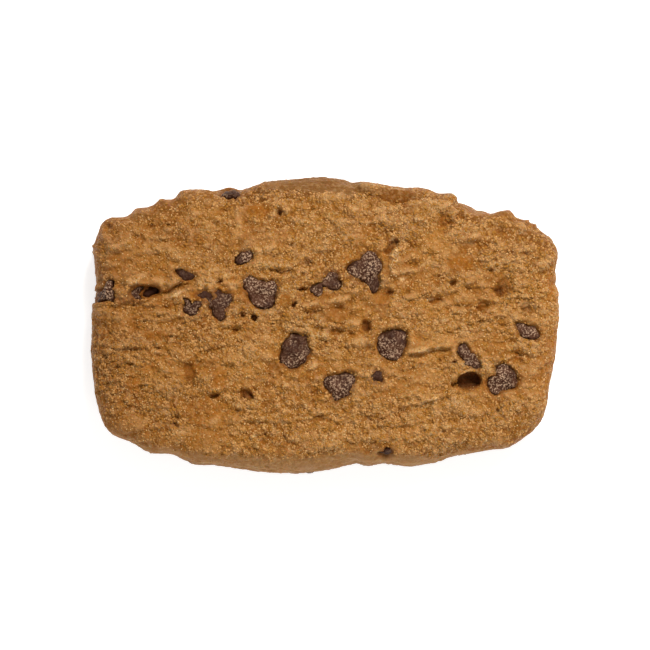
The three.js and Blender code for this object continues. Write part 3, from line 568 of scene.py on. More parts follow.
# The bearing of each corner of a square of cells, and how far out it is.
def square_corners(long, wide):
    i, j = np.meshgrid(np.arange(long + 1), np.arange(wide + 1), indexing="ij")
    u, v = 2.0 * i / long - 1.0, 2.0 * j / wide - 1.0
    return square_bearing(u, v), np.maximum(np.abs(u), np.abs(v))


def square_edge(long, wide):
    ring = [(i, 0) for i in range(long)]
    ring += [(long, j) for j in range(wide)]
    ring += [(i, wide) for i in range(long, 0, -1)]
    ring += [(0, j) for j in range(wide, 0, -1)]
    return np.array(ring)


def square_faces(long, wide):
    i, j = np.meshgrid(np.arange(long), np.arange(wide), indexing="ij")
    a = (i * (wide + 1) + j).ravel()
    b, c, d = a + wide + 1, a + wide + 2, a + 1
    odd = ((i + j) % 2 == 1).ravel()[:, None]
    first = np.where(odd, np.stack([a, b, c], 1), np.stack([a, b, d], 1))
    second = np.where(odd, np.stack([a, c, d], 1), np.stack([b, c, d], 1))
    return np.concatenate([first, second])


def dough_shell():
    top = top_point(*square_corners(CELLS_LONG, CELLS_WIDE)).reshape(-1, 3)
    faces = [square_faces(CELLS_LONG, CELLS_WIDE)]
    points = [top]
    count = len(top)

    edge = square_edge(CELLS_LONG, CELLS_WIDE)
    row = edge[:, 0] * (CELLS_WIDE + 1) + edge[:, 1]
    bearing = square_bearing(2.0 * edge[:, 0] / CELLS_LONG - 1, 2.0 * edge[:, 1] / CELLS_WIDE - 1)
    for k in range(1, FOOT_ROWS + 1):
        points.append(foot_point(bearing, k / FOOT_ROWS))
        below = count + np.arange(len(edge))
        count += len(edge)
        across, under = np.roll(row, -1), np.roll(below, -1)
        faces.append(np.stack([row, below, under], 1))
        faces.append(np.stack([row, under, across], 1))
        row = below

    base_bearing, out = square_corners(BASE_LONG, BASE_WIDE)
    reach = (smooth_radius(base_bearing) - FOOT) * out * BASE_SHARE
    base = np.stack([reach * np.cos(base_bearing), reach * np.sin(base_bearing), 0.0 * reach], -1)
    points.append(base.reshape(-1, 3))
    faces.append(square_faces(BASE_LONG, BASE_WIDE)[:, ::-1] + count)
    ring = square_edge(BASE_LONG, BASE_WIDE)
    inner = count + ring[:, 0] * (BASE_WIDE + 1) + ring[:, 1]
    after = np.roll(inner, -1)
    f0, f1, f2, f3 = row[0::3], row[1::3], row[2::3], np.roll(row[0::3], -1)
    for corners in ((inner, f1, f0), (inner, after, f1), (after, f2, f1), (after, f3, f2)):
        faces.append(np.stack(corners, 1))
    return np.concatenate(points), np.concatenate(faces), count


def corner_normals(points, faces):
    a, b, c = points[faces[:, 0]], points[faces[:, 1]], points[faces[:, 2]]
    across = np.cross(b - a, c - a)
    normals = np.zeros_like(points)
    for n in range(3):
        for axis in range(3):
            share = np.bincount(faces[:, n], across[:, axis], len(points))
            normals[:, axis] += share
    return normals / np.linalg.norm(normals, axis=1)[:, None]


points, faces, base_start = dough_shell()
normals = corner_normals(points, faces)
facing = normals[:, 2]
x, y, z = points[:, 0], points[:, 1], points[:, 2]
height, drag = dough_relief(x, y, z, facing)

# The torn face reaches nearly to the outline, but the smooth skin comes over the shoulder
# all along the near side and in the middle of the far one: (its middle's bearing, its reach).
NEAR_SIDE = (-1.68, 0.95)
FAR_SIDE = (1.64, 0.38)
bearing = np.arctan2(y, x)
strayed = bearing + 0.12 * uneven(x / 3.0, y / 3.0, z / 2.2) + 0.05 * uneven(x, y, z / 0.8)
near_side = np.exp(-((strayed - NEAR_SIDE[0]) / NEAR_SIDE[1]) ** 6)
far_side = np.exp(-((strayed - FAR_SIDE[0]) / FAR_SIDE[1]) ** 4)
skinned = np.maximum(near_side, 0.97 * far_side)
ragged = facing + 0.10 * uneven(x / 1.6, y / 1.6, z / 1.6) + 0.06 * uneven(x / 0.6, y / 0.6, 41)
upper = z > WAIST
cut = ease(mixed(-0.25, 0.74, skinned), mixed(0.2, 0.93, skinned), ragged) * ease(3.0, 4.6, z)
rim = 1 - ease(0.05, 0.85, facing)

# The crumb itself, from clods the size of an oat down to single grains. Down the side it is
# laid out along the surface, so that it isn't drawn out into stripes.
TOP_EDGE = 1.5
CLOD = 1.25
SMALL_CLOD = 0.62
fall = np.maximum(0.0, crown(x, y) - z - TOP_EDGE)
flat_x = x + fall * np.cos(bearing)
flat_y = y + fall * np.sin(bearing)
smear = patch_share(flat_x, flat_y, [(*place, 1.0) for place in SMEARS], 0.55)
loose = crumbliness(flat_x, flat_y)
pressed = ease(5.0, -30.0, x) * ease(-2.0, 10.0, y)
crumbly = mixed(0.4, 1.0, loose) * (1 - 0.6 * smear) * (1 - 0.35 * pressed)
warp_x = flat_x / 1.15 + 0.35 * uneven(flat_x / 1.1, flat_y / 1.1, 51)
warp_y = flat_y + 0.35 * uneven(flat_x / 1.1, flat_y / 1.1, 53)
middle, crease = clods(warp_x, warp_y, CLOD, 61)
small_middle, small_crease = clods(warp_x + 7.7, warp_y, SMALL_CLOD, 71)
coarse = 0.36 * uneven(x / 2.4, y / 1.4, z / 1.6) + 0.15 * uneven(flat_x, flat_y / 0.75, 91)
clumps = ease(0.2, 0.85, uneven(flat_x / 1.6 + 9, flat_y / 1.1, 83))
coarse = coarse + 0.26 * clumps + 0.2 * pressed * uneven(flat_x / 1.8, flat_y / 0.9, 97)
big_clods = 0.32 * (1 - ease(0.0, 0.8, middle)) - 0.14 * (1 - ease(0.0, 0.22, crease))
small_clods = 0.15 * (1 - ease(0.0, 0.8, small_middle)) - 0.06 * (1 - ease(0.0, 0.3, small_crease))
fine = 0.06 * uneven(x / 0.44 + 4, y / 0.42, z / 0.5 + 6)
crumb = coarse + mixed(0.3, 1.0, crumbly) * (big_clods + small_clods - 0.06)
crumb = (crumb + mixed(0.15, 1.0, crumbly) * fine) * mixed(1.0, 0.3, rim)

# Streaks that the die left along the side, and a few shallow scuffs.
SIDE_RADIUS = 30.0
arc = bearing * SIDE_RADIUS
streaks = 0.03 * uneven(arc / 6.0, z / 0.42, 11) + 0.03 * uneven(arc / 2.6, z / 0.21, 13)
scuffs = -0.18 * ease(0.45, 0.9, uneven(arc / 1.7, z / 0.9, 17))
pores = -0.14 * ease(0.35, 0.8, uneven(arc / 0.6, z / 0.5, 21))
grain = 0.09 * uneven(arc / 0.8, z / 0.6, 19) + 0.08 * uneven(x / 0.45, y / 0.45, z / 0.45)
skin = streaks + scuffs + pores + grain
height = height + mixed(skin, crumb, cut)

# Bubbles and gaps between grains: small pits scattered over the cut face.
pit_dice = np.random.default_rng(52)
PITS = 320
PIT_FIELD = (-37, 37), (-23, 23)
PIT_STRETCH = (1.0, 2.2)
PIT_WIDE = (0.22, 0.5)
PIT_DEEP = (0.15, 0.5)
PIT_REACH = 1.2
pit_depth = np.zeros_like(x)
for n in range(PITS):
    px, py = [pit_dice.uniform(*span) for span in PIT_FIELD]
    wide = pit_dice.uniform(*PIT_WIDE)
    long = wide * pit_dice.uniform(*PIT_STRETCH)
    deep = pit_dice.uniform(*PIT_DEEP)
    close = (np.abs(x - px) < PIT_REACH) & (np.abs(y - py) < PIT_REACH) & upper
    near = np.hypot((x[close] - px) / long, (y[close] - py) / wide)
    pit_depth[close] = np.maximum(pit_depth[close], deep * (1 - ease(0.4, 1.1, near)))
height = height - pit_depth * ease(0.6, 0.9, facing) * mixed(0.3, 1.0, crumbly)

FLAKE_HEIGHT = 0.22
flake = np.zeros_like(x)
for form in FLAKES:
    away = np.hypot(*along_across(flat_x, flat_y, *form)) + 0.35 * uneven(x / 0.4, y / 0.4, 43)
    flake = np.maximum(flake, 1 - ease(0.6, 1.2, away))
height = height + FLAKE_HEIGHT * flake * upper
# Where painted highlights go: the lips of creases, the mounds and the clumps.
lip_highlight = ease(0.04, 0.25, crease_height(flat_x, flat_y))
lip_highlight = lip_highlight + 1.1 * ease(0.12, 0.4, mound_height(flat_x, flat_y))
lip_highlight = lip_highlight + 0.7 * clumps * mixed(0.3, 1.0, crumbly)

stain_and_shade = patch_share(flat_x, flat_y, STAINS_AND_SHADE, 0.3, 0.25 * uneven(x / 0.6, y / 0.6, 37))
pale = patch_share(flat_x, flat_y, PALE_PLACES, 0.3, 0.25 * uneven(x / 1.4, y / 1.1, 47))


# Where a chip of the top face lies, which way it faces, and how high the dough stands there.
def chip_seat(place):
    seat, seat_normal = top_surface(*place)
    spot = [np.array([value]) for value in (*seat, seat_normal.z)]
    return seat, seat_normal, dough_relief(*spot)[0][0]


# The dough comes level with each chip and drops into a narrow gap at its edge.
AROUND_CHIP = 2.5
in_chip = np.zeros_like(x)
for chip_place, thick, proud, bloom, outline in TOP_CHIPS:
    seat, seat_normal, level = chip_seat(chip_place)
    reach = max(math.hypot(*corner) for corner in outline)
    distance = np.linalg.norm(points - np.array(seat), axis=1)
    around = distance < reach + AROUND_CHIP
    off_x, off_y = x[around] - chip_place[0], y[around] - chip_place[1]
    gap = np.hypot(off_x, off_y) - chip_radius(outline, np.arctan2(off_y, off_x))
    gap = gap + 0.16 * uneven(x[around] / 0.8, y[around] / 0.8, 23)
    open_edge = ease(-0.35, 0.35, uneven(x[around] / 1.3 + 9, y[around] / 1.3, 27) + 0.15)
    hold = 1 - ease(0.1, 1.1, gap)
    kept = height[around] if proud < 0 else mixed(height[around], level + 0.6 * crumb[around], hold)
    drop = 1 - ease(-0.12, SOCKET_RIM, gap)
    swell = 0.12 * np.exp(-((gap - 0.75) / 0.4) ** 2)
    depth = mixed(0.15, 1.0, np.maximum(open_edge, ease(0.2, 0.5, -gap)))
    height[around] = kept + swell - SOCKET_DEPTH * drop * depth
    in_chip[around] = np.maximum(in_chip[around], drop * depth)
    # A dark ring of chocolate stain round each chip, which also paints shade into the gap there.
    stain_and_shade[around] = np.maximum(stain_and_shade[around], 0.75 - 0.75 * ease(0.0, 0.6, gap))
    drag[around] = drag[around] * (1 - hold)[:, None]

firm = ease(0.0, FIRM, z)
moved = points + normals * (firm * height)[:, None]
moved[:, :2] += drag * firm[:, None]

# The crags are pulled out of the torn edge, most of all just above the widest line.
for cx, cy, half, out in CRAGS:
    toward = math.atan2(cy, cx)
    off = (bearing - toward + math.pi) % TURN - math.pi
    tooth = np.maximum(0.0, 1 - np.abs(off) * math.hypot(cx, cy) / (1.6 * half))
    band = ease(1.5, 4.5, z) * (1 - ease(9.0, 12.0, z))
    band = band * ease(0.6, 0.9, np.hypot(x, y) / outline_radius(bearing))
    moved[:, 0] += math.cos(toward) * out * tooth * band
    moved[:, 1] += math.sin(toward) * out * tooth * band

# The underside is flat, with bubbles in it that stop short of its rim.
BUBBLE_EDGE = 1.0
under = np.arange(len(points)) >= base_start
ux, uy = x[under], y[under]
bubbles = 0.32 * ease(0.42, 0.85, uneven(ux / 1.6, uy / 1.6, 29))
bubbles = bubbles + 0.2 * ease(0.5, 0.8, uneven(ux / 0.8, uy / 0.8, 31))
inside = np.hypot(ux, uy) < smooth_radius(np.arctan2(uy, ux)) - FOOT - BUBBLE_EDGE
moved[under, 2] = bubbles * inside
base = 1 - ease(0.0, 1.8, z + 0.7 * uneven(x / 1.5, y / 1.5, 39))
base[under] = 1 - 0.75 * ease(0.0, 0.2, bubbles * inside)

# Painted shade on the slopes that face the far side, darkest in the middle.
far_side_shade = mixed(0.48, 0.70, far_side) * ease(0.1, 0.75, normals[:, 1])


# A mesh in metres from points in millimetres, with its shares of each finish as attributes.
def mesh_of(name, points, faces, shares):
    data = bpy.data.meshes.new(name)
    data.from_pydata(((points + CENTRING) * 0.001).tolist(), [], faces.tolist())
    data.polygons.foreach_set("use_smooth", np.ones(len(faces), bool))
    for label, values in shares.items():
        layer = data.attributes.new(label, "FLOAT", "POINT")
        layer.data.foreach_set("value", values.astype(np.float32))
    data.update()
    return data


def show(name, data):
    shown = bpy.data.objects.new(name, data)
    bpy.context.scene.collection.objects.link(shown)
    return shown


hollow = -hollow_height(x, y)
dough_data = mesh_of("dough", moved, faces, {
    "cut": cut,
    "crumbly": crumbly * mixed(0.4, 1.0, cut),
    "smear": np.maximum(smear, 0.5 * (1 - loose)) * cut,
    # Painted shade in the low places of the torn face.
    "low": ease(0.15, 1.0, -height) * upper,
    # Painted shade at the bottom of deep hollows.
    "deep": ease(0.8, 1.5, hollow) * ease(0.7, 1.6, -height) * upper,
    # Painted highlight on raised dough.
    "painted_raised_highlight": ease(0.0, 0.6, height) * (1 - smear) * upper,
    "grit": cut * mixed(0.2, 1.3, crumbly) * (1 - 0.8 * stain_and_shade) * (1 - rim)
    * (1 - np.minimum(1, 2 * in_chip)) * (1 - ease(0.2, 0.6, hollow))
    * (1 - 0.6 * ease(0.2, 0.7, -height)) * (1 - 0.7 * smear),
    "base": base,
    # Painted shade: the steep rim is tinted a darker amber, more on the far side, less at the left end.
    "rim": rim * mixed(0.6, 1.0, ease(0.0, 16.0, y)) * mixed(0.5, 1.0, ease(-36.0, -20.0, x)),
    # Painted shade on the far-facing slopes and on the steep outermost edge.
    "painted_edge_shade": np.maximum(far_side_shade, mixed(0.18, 0.3, skinned) * (1 - ease(0.0, 0.4, facing))),
    # Painted highlight along the lips, mounds and clumps.
    "lip": np.minimum(1, lip_highlight) * cut * (1 - smear) * upper,
    "pale": pale,
    "ends": 1 - near_side,
    # Chocolate stain and painted shade.
    "stain_and_shade": stain_and_shade * upper,
    "flake": flake * upper,
})
dough = show("dough", dough_data)


# The nodes of every material and scatter below are laid out with these. An input is given a
# plain value or another node's output, and a node hands on the output that is wanted.
def fill(node, given):
    for label, value in given.items():
        if isinstance(value, bpy.types.NodeSocket):
            node.id_data.links.new(value, node.inputs[label])
        else:
            node.inputs[label].default_value = value


def lay(tree, kind, given, wanted=0, **settings):
    node = tree.nodes.new(kind)
    for label, setting in settings.items():
        setattr(node, label, setting)
    fill(node, given)
    return node.outputs[wanted]


def start_material(name):
    material = bpy.data.materials.new(name)
    material.use_nodes = True
    tree = material.node_tree
    place = lay(tree, "ShaderNodeTexCoord", {}, "Object")
    return material, tree, tree.nodes["Principled BSDF"], place


def speckle(place, scale, detail=3.0, roughness=0.6, stretch=(1.0, 1.0, 1.0)):
    tree = place.id_data
    stretched = lay(tree, "ShaderNodeMapping", {"Vector": place, "Scale": stretch})
    given = {"Vector": stretched, "Scale": scale, "Detail": detail, "Roughness": roughness}
    return lay(tree, "ShaderNodeTexNoise", given, "Fac")


def spread(value, low, high, to_low=0.0, to_high=1.0):
    given = {"Value": value, "From Min": low, "From Max": high, "To Min": to_low, "To Max": to_high}
    return lay(value.id_data, "ShaderNodeMapRange", given, interpolation_type="SMOOTHSTEP")


def share_of(tree, name):
    return lay(tree, "ShaderNodeAttribute", {}, "Fac", attribute_name=name)


def tint(share, base, over):
    given = {"Factor": share, 6: base, 7: over}
    return lay(share.id_data, "ShaderNodeMix", given, 2, data_type="RGBA")


def times(a, b):
    return lay(a.id_data, "ShaderNodeMath", {0: a, 1: b}, operation="MULTIPLY")


# Coats over a colour, one after the other: (where, how much of it there, its colour).
def coated(colour, coats):
    for where, amount, over in coats:
        if isinstance(where, str):
            where = share_of(colour.id_data, where)
        colour = tint(times(where, amount), colour, over)
    return colour


def relief_normal(value, depth, **under):
    return lay(value.id_data, "ShaderNodeBump", {"Height": value, "Distance": depth, **under})


# Painted shade: how much darker and browner the dough is made towards the left-hand end.
LEFT_SHADE_SPAN = (-0.006, -0.036)
LEFT_SHADE_AMOUNT = 0.29


def left_end_shade(place):
    along = lay(place.id_data, "ShaderNodeSeparateXYZ", {"Vector": place})
    return spread(along, *LEFT_SHADE_SPAN, 0.0, LEFT_SHADE_AMOUNT)


# Baked dough: golden where it is granular, amber where it is smeared, and greyer on the skin of
# the sides. Painted shade darkens the tears, pits, grain gaps, edges and left-hand end, and
# painted highlights lighten grain tips, raised dough, lips and flakes.
GOLDEN = (0.350, 0.150, 0.027, 1.0)
BROWN = (0.225, 0.081, 0.012, 1.0)
AMBER = (0.290, 0.100, 0.009, 1.0)
SKIN = (0.400, 0.207, 0.076, 1.0)
SKIN_STREAK = (0.285, 0.137, 0.045, 1.0)
# The real browned underside, and painted shade on the far and outermost edges.
BROWNED_AND_EDGE_SHADE = (0.085, 0.032, 0.007, 1.0)
# Painted shade in tears and low places.
RECESS_SHADE = (0.215, 0.066, 0.005, 1.0)
# Painted shade in deep hollows.
PIT_SHADE = (0.130, 0.044, 0.010, 1.0)
# Chocolate stain and painted shade.
STAIN_AND_SHADE = (0.090, 0.027, 0.007, 1.0)
# Pale flakes of dough, and the painted highlight on them.
PALE_FLAKE_AND_HIGHLIGHT = (0.660, 0.410, 0.190, 1.0)
UNDERSIDE = (0.165, 0.066, 0.020, 1.0)
# Painted highlight on grain tips, raised dough and lips.
PAINTED_HIGHLIGHT = (0.560, 0.330, 0.142, 1.0)
PALE_DOUGH = (0.470, 0.225, 0.052, 1.0)
# Painted shade in the gaps between grains.
GRAIN_GAP_SHADE = (0.150, 0.047, 0.004, 1.0)
GRAIN_SCALE = 2100.0

baked, tree, shader, place = start_material("baked dough")
cloudy = spread(speckle(place, 110.0), 0.36, 0.62)
blotched = spread(speckle(place, 330.0), 0.40, 0.62)
mottled = spread(speckle(place, 700.0), 0.38, 0.64)
# Painted shade: the steep rim is tinted a darker amber.
colour = coated(tint(cloudy, BROWN, GOLDEN), [
    (blotched, 0.30, BROWN), (mottled, 0.35, BROWN), ("smear", 0.75, AMBER), ("rim", 0.6, AMBER),
    ("pale", 1.0, PALE_DOUGH),
])
streaky = speckle(place, 420.0, stretch=(0.35, 0.35, 3.5))
skin_colour = coated(tint(spread(streaky, 0.38, 0.66, 0.1, 0.7), SKIN, SKIN_STREAK), [
    (blotched, 0.35, GOLDEN), (mottled, 0.6, SKIN_STREAK), ("ends", 0.7, GOLDEN),
])
granular = share_of(tree, "crumbly")
grain_middle = lay(tree, "ShaderNodeTexVoronoi", {"Vector": place, "Scale": GRAIN_SCALE}, "Distance")
# Painted shade in the gaps between grains, and painted glints on the grains' tips.
grain_gap_shade = times(spread(grain_middle, 0.42, 0.75), granular)
painted_grain_glints = times(spread(speckle(place, 1500.0, 2.0), 0.47, 0.66), granular)
underside = tint(times(cloudy, 0.6), UNDERSIDE, BROWNED_AND_EDGE_SHADE)
# Painted shade and painted highlights go over the colour, as well as the real stains and underside.
colour = coated(tint(share_of(tree, "cut"), skin_colour, colour), [
    ("painted_edge_shade", 1.0, BROWNED_AND_EDGE_SHADE), (grain_gap_shade, 0.5, GRAIN_GAP_SHADE), (painted_grain_glints, 0.55, PAINTED_HIGHLIGHT),
    ("low", 0.75, RECESS_SHADE), ("painted_raised_highlight", 0.25, PAINTED_HIGHLIGHT), ("lip", 0.42, PAINTED_HIGHLIGHT),
    ("flake", 0.8, PALE_FLAKE_AND_HIGHLIGHT), ("stain_and_shade", 0.75, STAIN_AND_SHADE), ("deep", 1.0, PIT_SHADE),
    ("base", 1.0, coated(underside, [(mottled, 0.4, BROWN)])), (left_end_shade(place), 1.0, BROWN),
])
domes = times(spread(grain_middle, 0.0, 0.8, 1.0, 0.0), granular)
normal = relief_normal(domes, 0.00020)
fill(shader, {
    "Base Color": colour,
    "Roughness": spread(mottled, 0.0, 1.0, 0.48, 0.66),
    "Specular IOR Level": 0.06,
    "Subsurface Weight": 0.6,
    "Subsurface Radius": (1.0, 0.45, 0.2),
    "Subsurface Scale": 0.0005,
    "Normal": relief_normal(speckle(place, 2600.0), 0.00018, Normal=normal),
})
dough_data.materials.append(baked)
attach(dough, "root")
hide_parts("cookie")


# ---------------------------------------------------------------- the chips
# Small dark chocolate chips. The wire dragged and squashed them, and the oven softened them,
# so they are flat, knobbly and have a pale bloom, whose flecks also paint glints; most are in
# the cut face, six in the side.

# The chips in the side: (bearing in degrees, height, radius).
SIDE_CHIPS = [
    (11, 3.4, 1.8), (87, 3.7, 2.0), (113, 3.2, 1.6), (187, 3.5, 1.9), (261, 3.3, 2.1),
    (351, 3.0, 1.7),
]
SIDE_PROUD = 0.05
SIDE_OUTLINE = [(1.0, 0.1), (0.5, 0.7), (-0.4, 0.8), (-1.1, 0.2), (-0.7, -0.6), (0.3, -0.7)]
THICK_CHIP = 0.85  # a chip thicker than this has four times the faces


def chip_form(outline, thick, seed, fineness):
    ball = bmesh.new()
    bmesh.ops.create_icosphere(ball, subdivisions=fineness, radius=1.0)
    way = np.array([v.co.normalized() for v in ball.verts])
    triangles = np.array([[v.index for v in f.verts] for f in ball.faces])
    ball.free()
    flat = np.hypot(way[:, 0], way[:, 1])
    toward = np.arctan2(way[:, 1], way[:, 0])
    radius = chip_radius(outline, toward) * flat ** 0.55
    up = thick * np.sign(way[:, 2]) * np.abs(way[:, 2]) ** 0.75
    form = np.stack([radius * np.cos(toward), radius * np.sin(toward), up], axis=-1)
    a, b, c = form[:, 0], form[:, 1], form[:, 2]
    dents = -0.42 * np.abs(uneven(a / 1.3 + seed, b / 1.3, c / 1.3)) + 0.14
    dents = dents + 0.15 * uneven(a / 0.6 + seed, b / 0.6, c / 0.6)
    dents = dents + 0.09 * uneven(a / 0.32, b / 0.32 + seed, c / 0.32)
    face = ease(0.2, 0.7, way[:, 2] + 0.25 * uneven(a / 0.8, b / 0.8, seed + 0.5))
    return form + way * dents[:, None], triangles, face


chip_points, chip_faces, chip_shares = [], [], []


def seat_chip(form, triangles, share, seat, seat_normal, lift):
    turn = np.array(Vector((0.0, 0.0, 1.0)).rotation_difference(seat_normal).to_matrix())
    chip_faces.append(triangles + sum(len(points) for points in chip_points))
    chip_points.append(form @ turn.T + np.array(seat) + np.array(seat_normal) * lift)
    chip_shares.append(share)


for n, (chip_place, thick, proud, bloom, outline) in enumerate(TOP_CHIPS):
    form, triangles, face = chip_form(outline, thick, n, 5 if thick > THICK_CHIP else 4)
    seat, seat_normal, level = chip_seat(chip_place)
    lift = (0.0 if proud < 0 else level) + proud - form[:, 2].max()
    seat_chip(form, triangles, bloom * face, seat, seat_normal, lift)
for n, (degrees, z_low, r) in enumerate(SIDE_CHIPS):
    outline = [(a * r, b * r) for a, b in SIDE_OUTLINE]
    form, triangles, face = chip_form(outline, 0.5 * r, len(TOP_CHIPS) + n, 4)
    toward = math.radians(degrees)
    phi = math.asin((1 - z_low / WAIST) ** (1 / FULLNESS))
    out = float(outline_radius(toward)) - FOOT * (1 - math.cos(phi) ** FULLNESS)
    seat = Vector((math.cos(toward) * out, math.sin(toward) * out, z_low))
    seat_normal = Vector((math.cos(toward), math.sin(toward), 0.0))
    seat_chip(form, triangles, face, seat, seat_normal, SIDE_PROUD - form[:, 2].max())

chip_data = mesh_of("chips", np.concatenate(chip_points), np.concatenate(chip_faces), {
    "face": np.concatenate(chip_shares),
})
chips = show("chips", chip_data)

CHOCOLATE = (0.032, 0.009, 0.003, 1.0)
MILKY = (0.080, 0.030, 0.014, 1.0)
BLOOM_AND_GLINT = (0.380, 0.240, 0.148, 1.0)

chocolate, tree, shader, place = start_material("dark chocolate")
on_face = share_of(tree, "face")
scuffed = spread(speckle(place, 480.0), 0.38, 0.62, 0.1, 1.0)
crowded = spread(speckle(place, 360.0, 2.0, 0.5), 0.36, 0.54, 0.15, 1.0)
# Flecks of pale bloom on the chips' faces, which also paint glints.
bloom_and_glint_flecks = spread(speckle(place, 3300.0, 2.0), 0.49, 0.60)
colour = tint(times(scuffed, on_face), CHOCOLATE, MILKY)
fill(shader, {
    "Base Color": tint(times(times(bloom_and_glint_flecks, crowded), on_face), colour, BLOOM_AND_GLINT),
    "Roughness": spread(bloom_and_glint_flecks, 0.0, 1.0, 0.40, 0.6),
    "Specular IOR Level": 0.10,
    "Normal": relief_normal(speckle(place, 2000.0, 3.0, 0.65), 0.00024),
})
chip_data.materials.append(chocolate)
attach(chips, "root")


# ---------------------------------------------------------------- crumbs and grains
# What makes the cut face glitter: granules of dough that the wire tore loose and left stuck,
# and among them coarse grains of sugar and flakes of salt. They sit half sunk in the dough.
TILT = 0.5  # how far a grain leans at most, in radians


def scatter_tree(name, material):
    group = bpy.data.node_groups.new(name, "GeometryNodeTree")
    face = group.interface
    face.new_socket("Geometry", in_out="INPUT", socket_type="NodeSocketGeometry")
    sockets = {}
    kinds = {"Per square metre": "Float", "Smallest": "Vector", "Largest": "Vector", "Seed": "Int"}
    for label, kind in kinds.items():
        made = face.new_socket(label, in_out="INPUT", socket_type="NodeSocket" + kind)
        sockets[label] = made.identifier
    face.new_socket("Geometry", in_out="OUTPUT", socket_type="NodeSocketGeometry")

    given = group.nodes.new("NodeGroupInput").outputs
    seed = given["Seed"]
    grit = lay(group, "GeometryNodeInputNamedAttribute", {"Name": "grit"}, data_type="FLOAT")
    amount = times(grit, given["Per square metre"])
    strew = {"Mesh": given["Geometry"], "Density": amount, "Seed": seed}
    points = lay(group, "GeometryNodeDistributePointsOnFaces", strew, distribute_method="RANDOM")
    ball = lay(group, "GeometryNodeMeshIcoSphere", {"Radius": 1.0, "Subdivisions": 1})
    grain = lay(group, "GeometryNodeSetShadeSmooth", {"Geometry": ball})
    sizes = {"Min": given["Smallest"], "Max": given["Largest"], "Seed": seed}
    leans = {"Min": (-TILT, -TILT, 0.0), "Max": (TILT, TILT, TURN), "Seed": seed}
    put = lay(group, "GeometryNodeInstanceOnPoints", {
        "Points": points,
        "Instance": grain,
        "Rotation": points.node.outputs["Rotation"],
        "Scale": lay(group, "FunctionNodeRandomValue", sizes, data_type="FLOAT_VECTOR"),
    })
    lean = lay(group, "FunctionNodeRandomValue", leans, data_type="FLOAT_VECTOR")
    tumbled = lay(group, "GeometryNodeRotateInstances", {"Instances": put, "Rotation": lean})
    real = lay(group, "GeometryNodeRealizeInstances", {"Geometry": tumbled})
    coat = lay(group, "GeometryNodeSetMaterial", {"Geometry": real, "Material": material})
    fill(group.nodes.new("NodeGroupOutput"), {"Geometry": coat})
    return group, sockets


def strew_over_dough(name, material, per_square_metre, smallest, largest, seed):
    group, sockets = scatter_tree(name, material)
    bed = show(name + " bed", dough_data.copy())
    modifier = bed.modifiers.new("strew", "NODES")
    modifier.node_group = group
    modifier[sockets["Per square metre"]] = per_square_metre
    modifier[sockets["Smallest"]] = smallest
    modifier[sockets["Largest"]] = largest
    modifier[sockets["Seed"]] = seed
    evaluated = bed.evaluated_get(bpy.context.evaluated_depsgraph_get())
    data = bpy.data.meshes.new_from_object(evaluated)
    data.name = name
    bpy.data.objects.remove(bed)
    piece = show(name, data)
    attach(piece, "root")


GRANULE = (0.332, 0.139, 0.020, 1.0)
GRANULE_PALE = (0.485, 0.248, 0.082, 1.0)
CRUMBS_PER_SQUARE_METRE = 2.3e6
GRANULE_SIZES = (0.00016, 0.00014, 0.00009), (0.00034, 0.00027, 0.00015)
CRUMB_SIZES = (0.00007, 0.00006, 0.00005), (0.00015, 0.00013, 0.0001)
crumb_coat, tree, shader, place = start_material("dough granule")
patchy = spread(speckle(place, 900.0, 1.0, 0.5), 0.38, 0.64)
# The granules get the same painted shade towards the left-hand end.
colour = tint(left_end_shade(place), tint(patchy, GRANULE, GRANULE_PALE), BROWN)
fill(shader, {"Base Color": colour, "Roughness": 0.5, "Specular IOR Level": 0.12})
strew_over_dough("granules", crumb_coat, CRUMBS_PER_SQUARE_METRE, *GRANULE_SIZES, 7)
strew_over_dough("fine_crumbs", crumb_coat, CRUMBS_PER_SQUARE_METRE, *CRUMB_SIZES, 23)

SUGAR = (0.530, 0.310, 0.120, 1.0)
SUGAR_CLEAR = (0.700, 0.450, 0.190, 1.0)
SUGAR_PER_SQUARE_METRE = 0.55e6
SUGAR_SIZES = (0.00006, 0.00006, 0.00005), (0.00015, 0.00013, 0.00012)
sugar_coat, tree, shader, place = start_material("sugar and salt")
clear = spread(speckle(place, 1300.0, 1.0, 0.5), 0.40, 0.62)
colour = tint(clear, SUGAR, SUGAR_CLEAR)
fill(shader, {"Base Color": colour, "Roughness": 0.3, "Specular IOR Level": 0.5})
strew_over_dough("sugar_grains", sugar_coat, SUGAR_PER_SQUARE_METRE, *SUGAR_SIZES, 19)


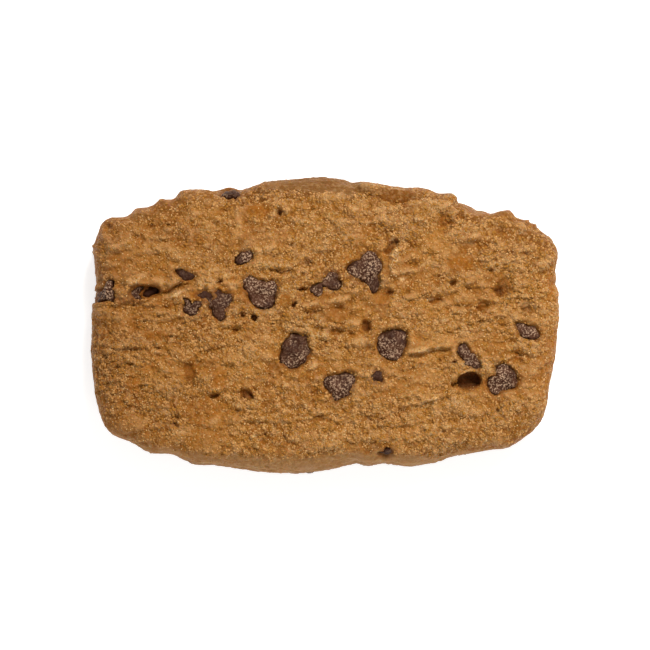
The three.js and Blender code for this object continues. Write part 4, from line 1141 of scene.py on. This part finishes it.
# ---------------------------------------------------------------- floor, light and camera
# A plain white table and soft studio light: a wide soft box behind the cookie's far edge, a
# weaker one in front of its near side, and an even white room. The camera looks straight down.
FLOOR = -0.00005  # just under the underside, so that the two never share a plane
FLOOR_REACH = 3
WHITE = (1.0, 1.0, 1.0, 1.0)
floor_data = bpy.data.meshes.new("floor")
ways = ((-1, -1), (1, -1), (1, 1), (-1, 1))
floor_corners = [(a * FLOOR_REACH, b * FLOOR_REACH, FLOOR) for a, b in ways]
floor_data.from_pydata(floor_corners, [], [(0, 1, 2, 3)])
floor = show("floor", floor_data)
white, tree, shader, place = start_material("white table")
fill(shader, {
    "Base Color": (0.62, 0.62, 0.62, 1.0),
    "Roughness": 0.9,
    "Specular IOR Level": 0.0,
    "Emission Color": WHITE,
    "Emission Strength": 0.7,
})
floor_data.materials.append(white)


def soft_box(name, place, size, power, colour):
    lamp = bpy.data.lights.new(name, "AREA")
    lamp.shape = "RECTANGLE"
    lamp.size = size[0]
    lamp.size_y = size[1]
    lamp.energy = power
    lamp.color = colour
    box = show(name, lamp)
    box.location = place
    box.rotation_euler = Vector(place).to_track_quat("Z", "Y").to_euler()


soft_box("key", (0.24, 0.50, 0.70), (0.30, 0.26), 9.6, (1.0, 0.985, 0.96))
soft_box("near side", (0.15, -0.55, 0.60), (0.45, 0.30), 2.0, (1.0, 0.99, 0.97))
world = bpy.data.worlds.new("studio")
world.use_nodes = True
fill(world.node_tree.nodes["Background"], {"Color": WHITE, "Strength": 0.36})
bpy.context.scene.world = world
bpy.context.scene.view_settings.view_transform = "Standard"

# A long lens, so that the view is nearly without perspective, as in the photograph.
LENS = 300.0
SENSOR = 36.0
VIEW_HEIGHT = 0.0052
VIEW_WIDTH = 0.1065  # how much the frame takes in at that height
VIEW_MIDDLE = (0.000110, 0.000132)
lens = bpy.data.cameras.new("camera")
lens.lens = LENS
lens.sensor_width = SENSOR
lens.clip_start = 0.01
lens.clip_end = 20.0
camera = show("camera", lens)
camera.location = (*VIEW_MIDDLE, VIEW_HEIGHT + VIEW_WIDTH * LENS / SENSOR)
bpy.context.scene.camera = camera
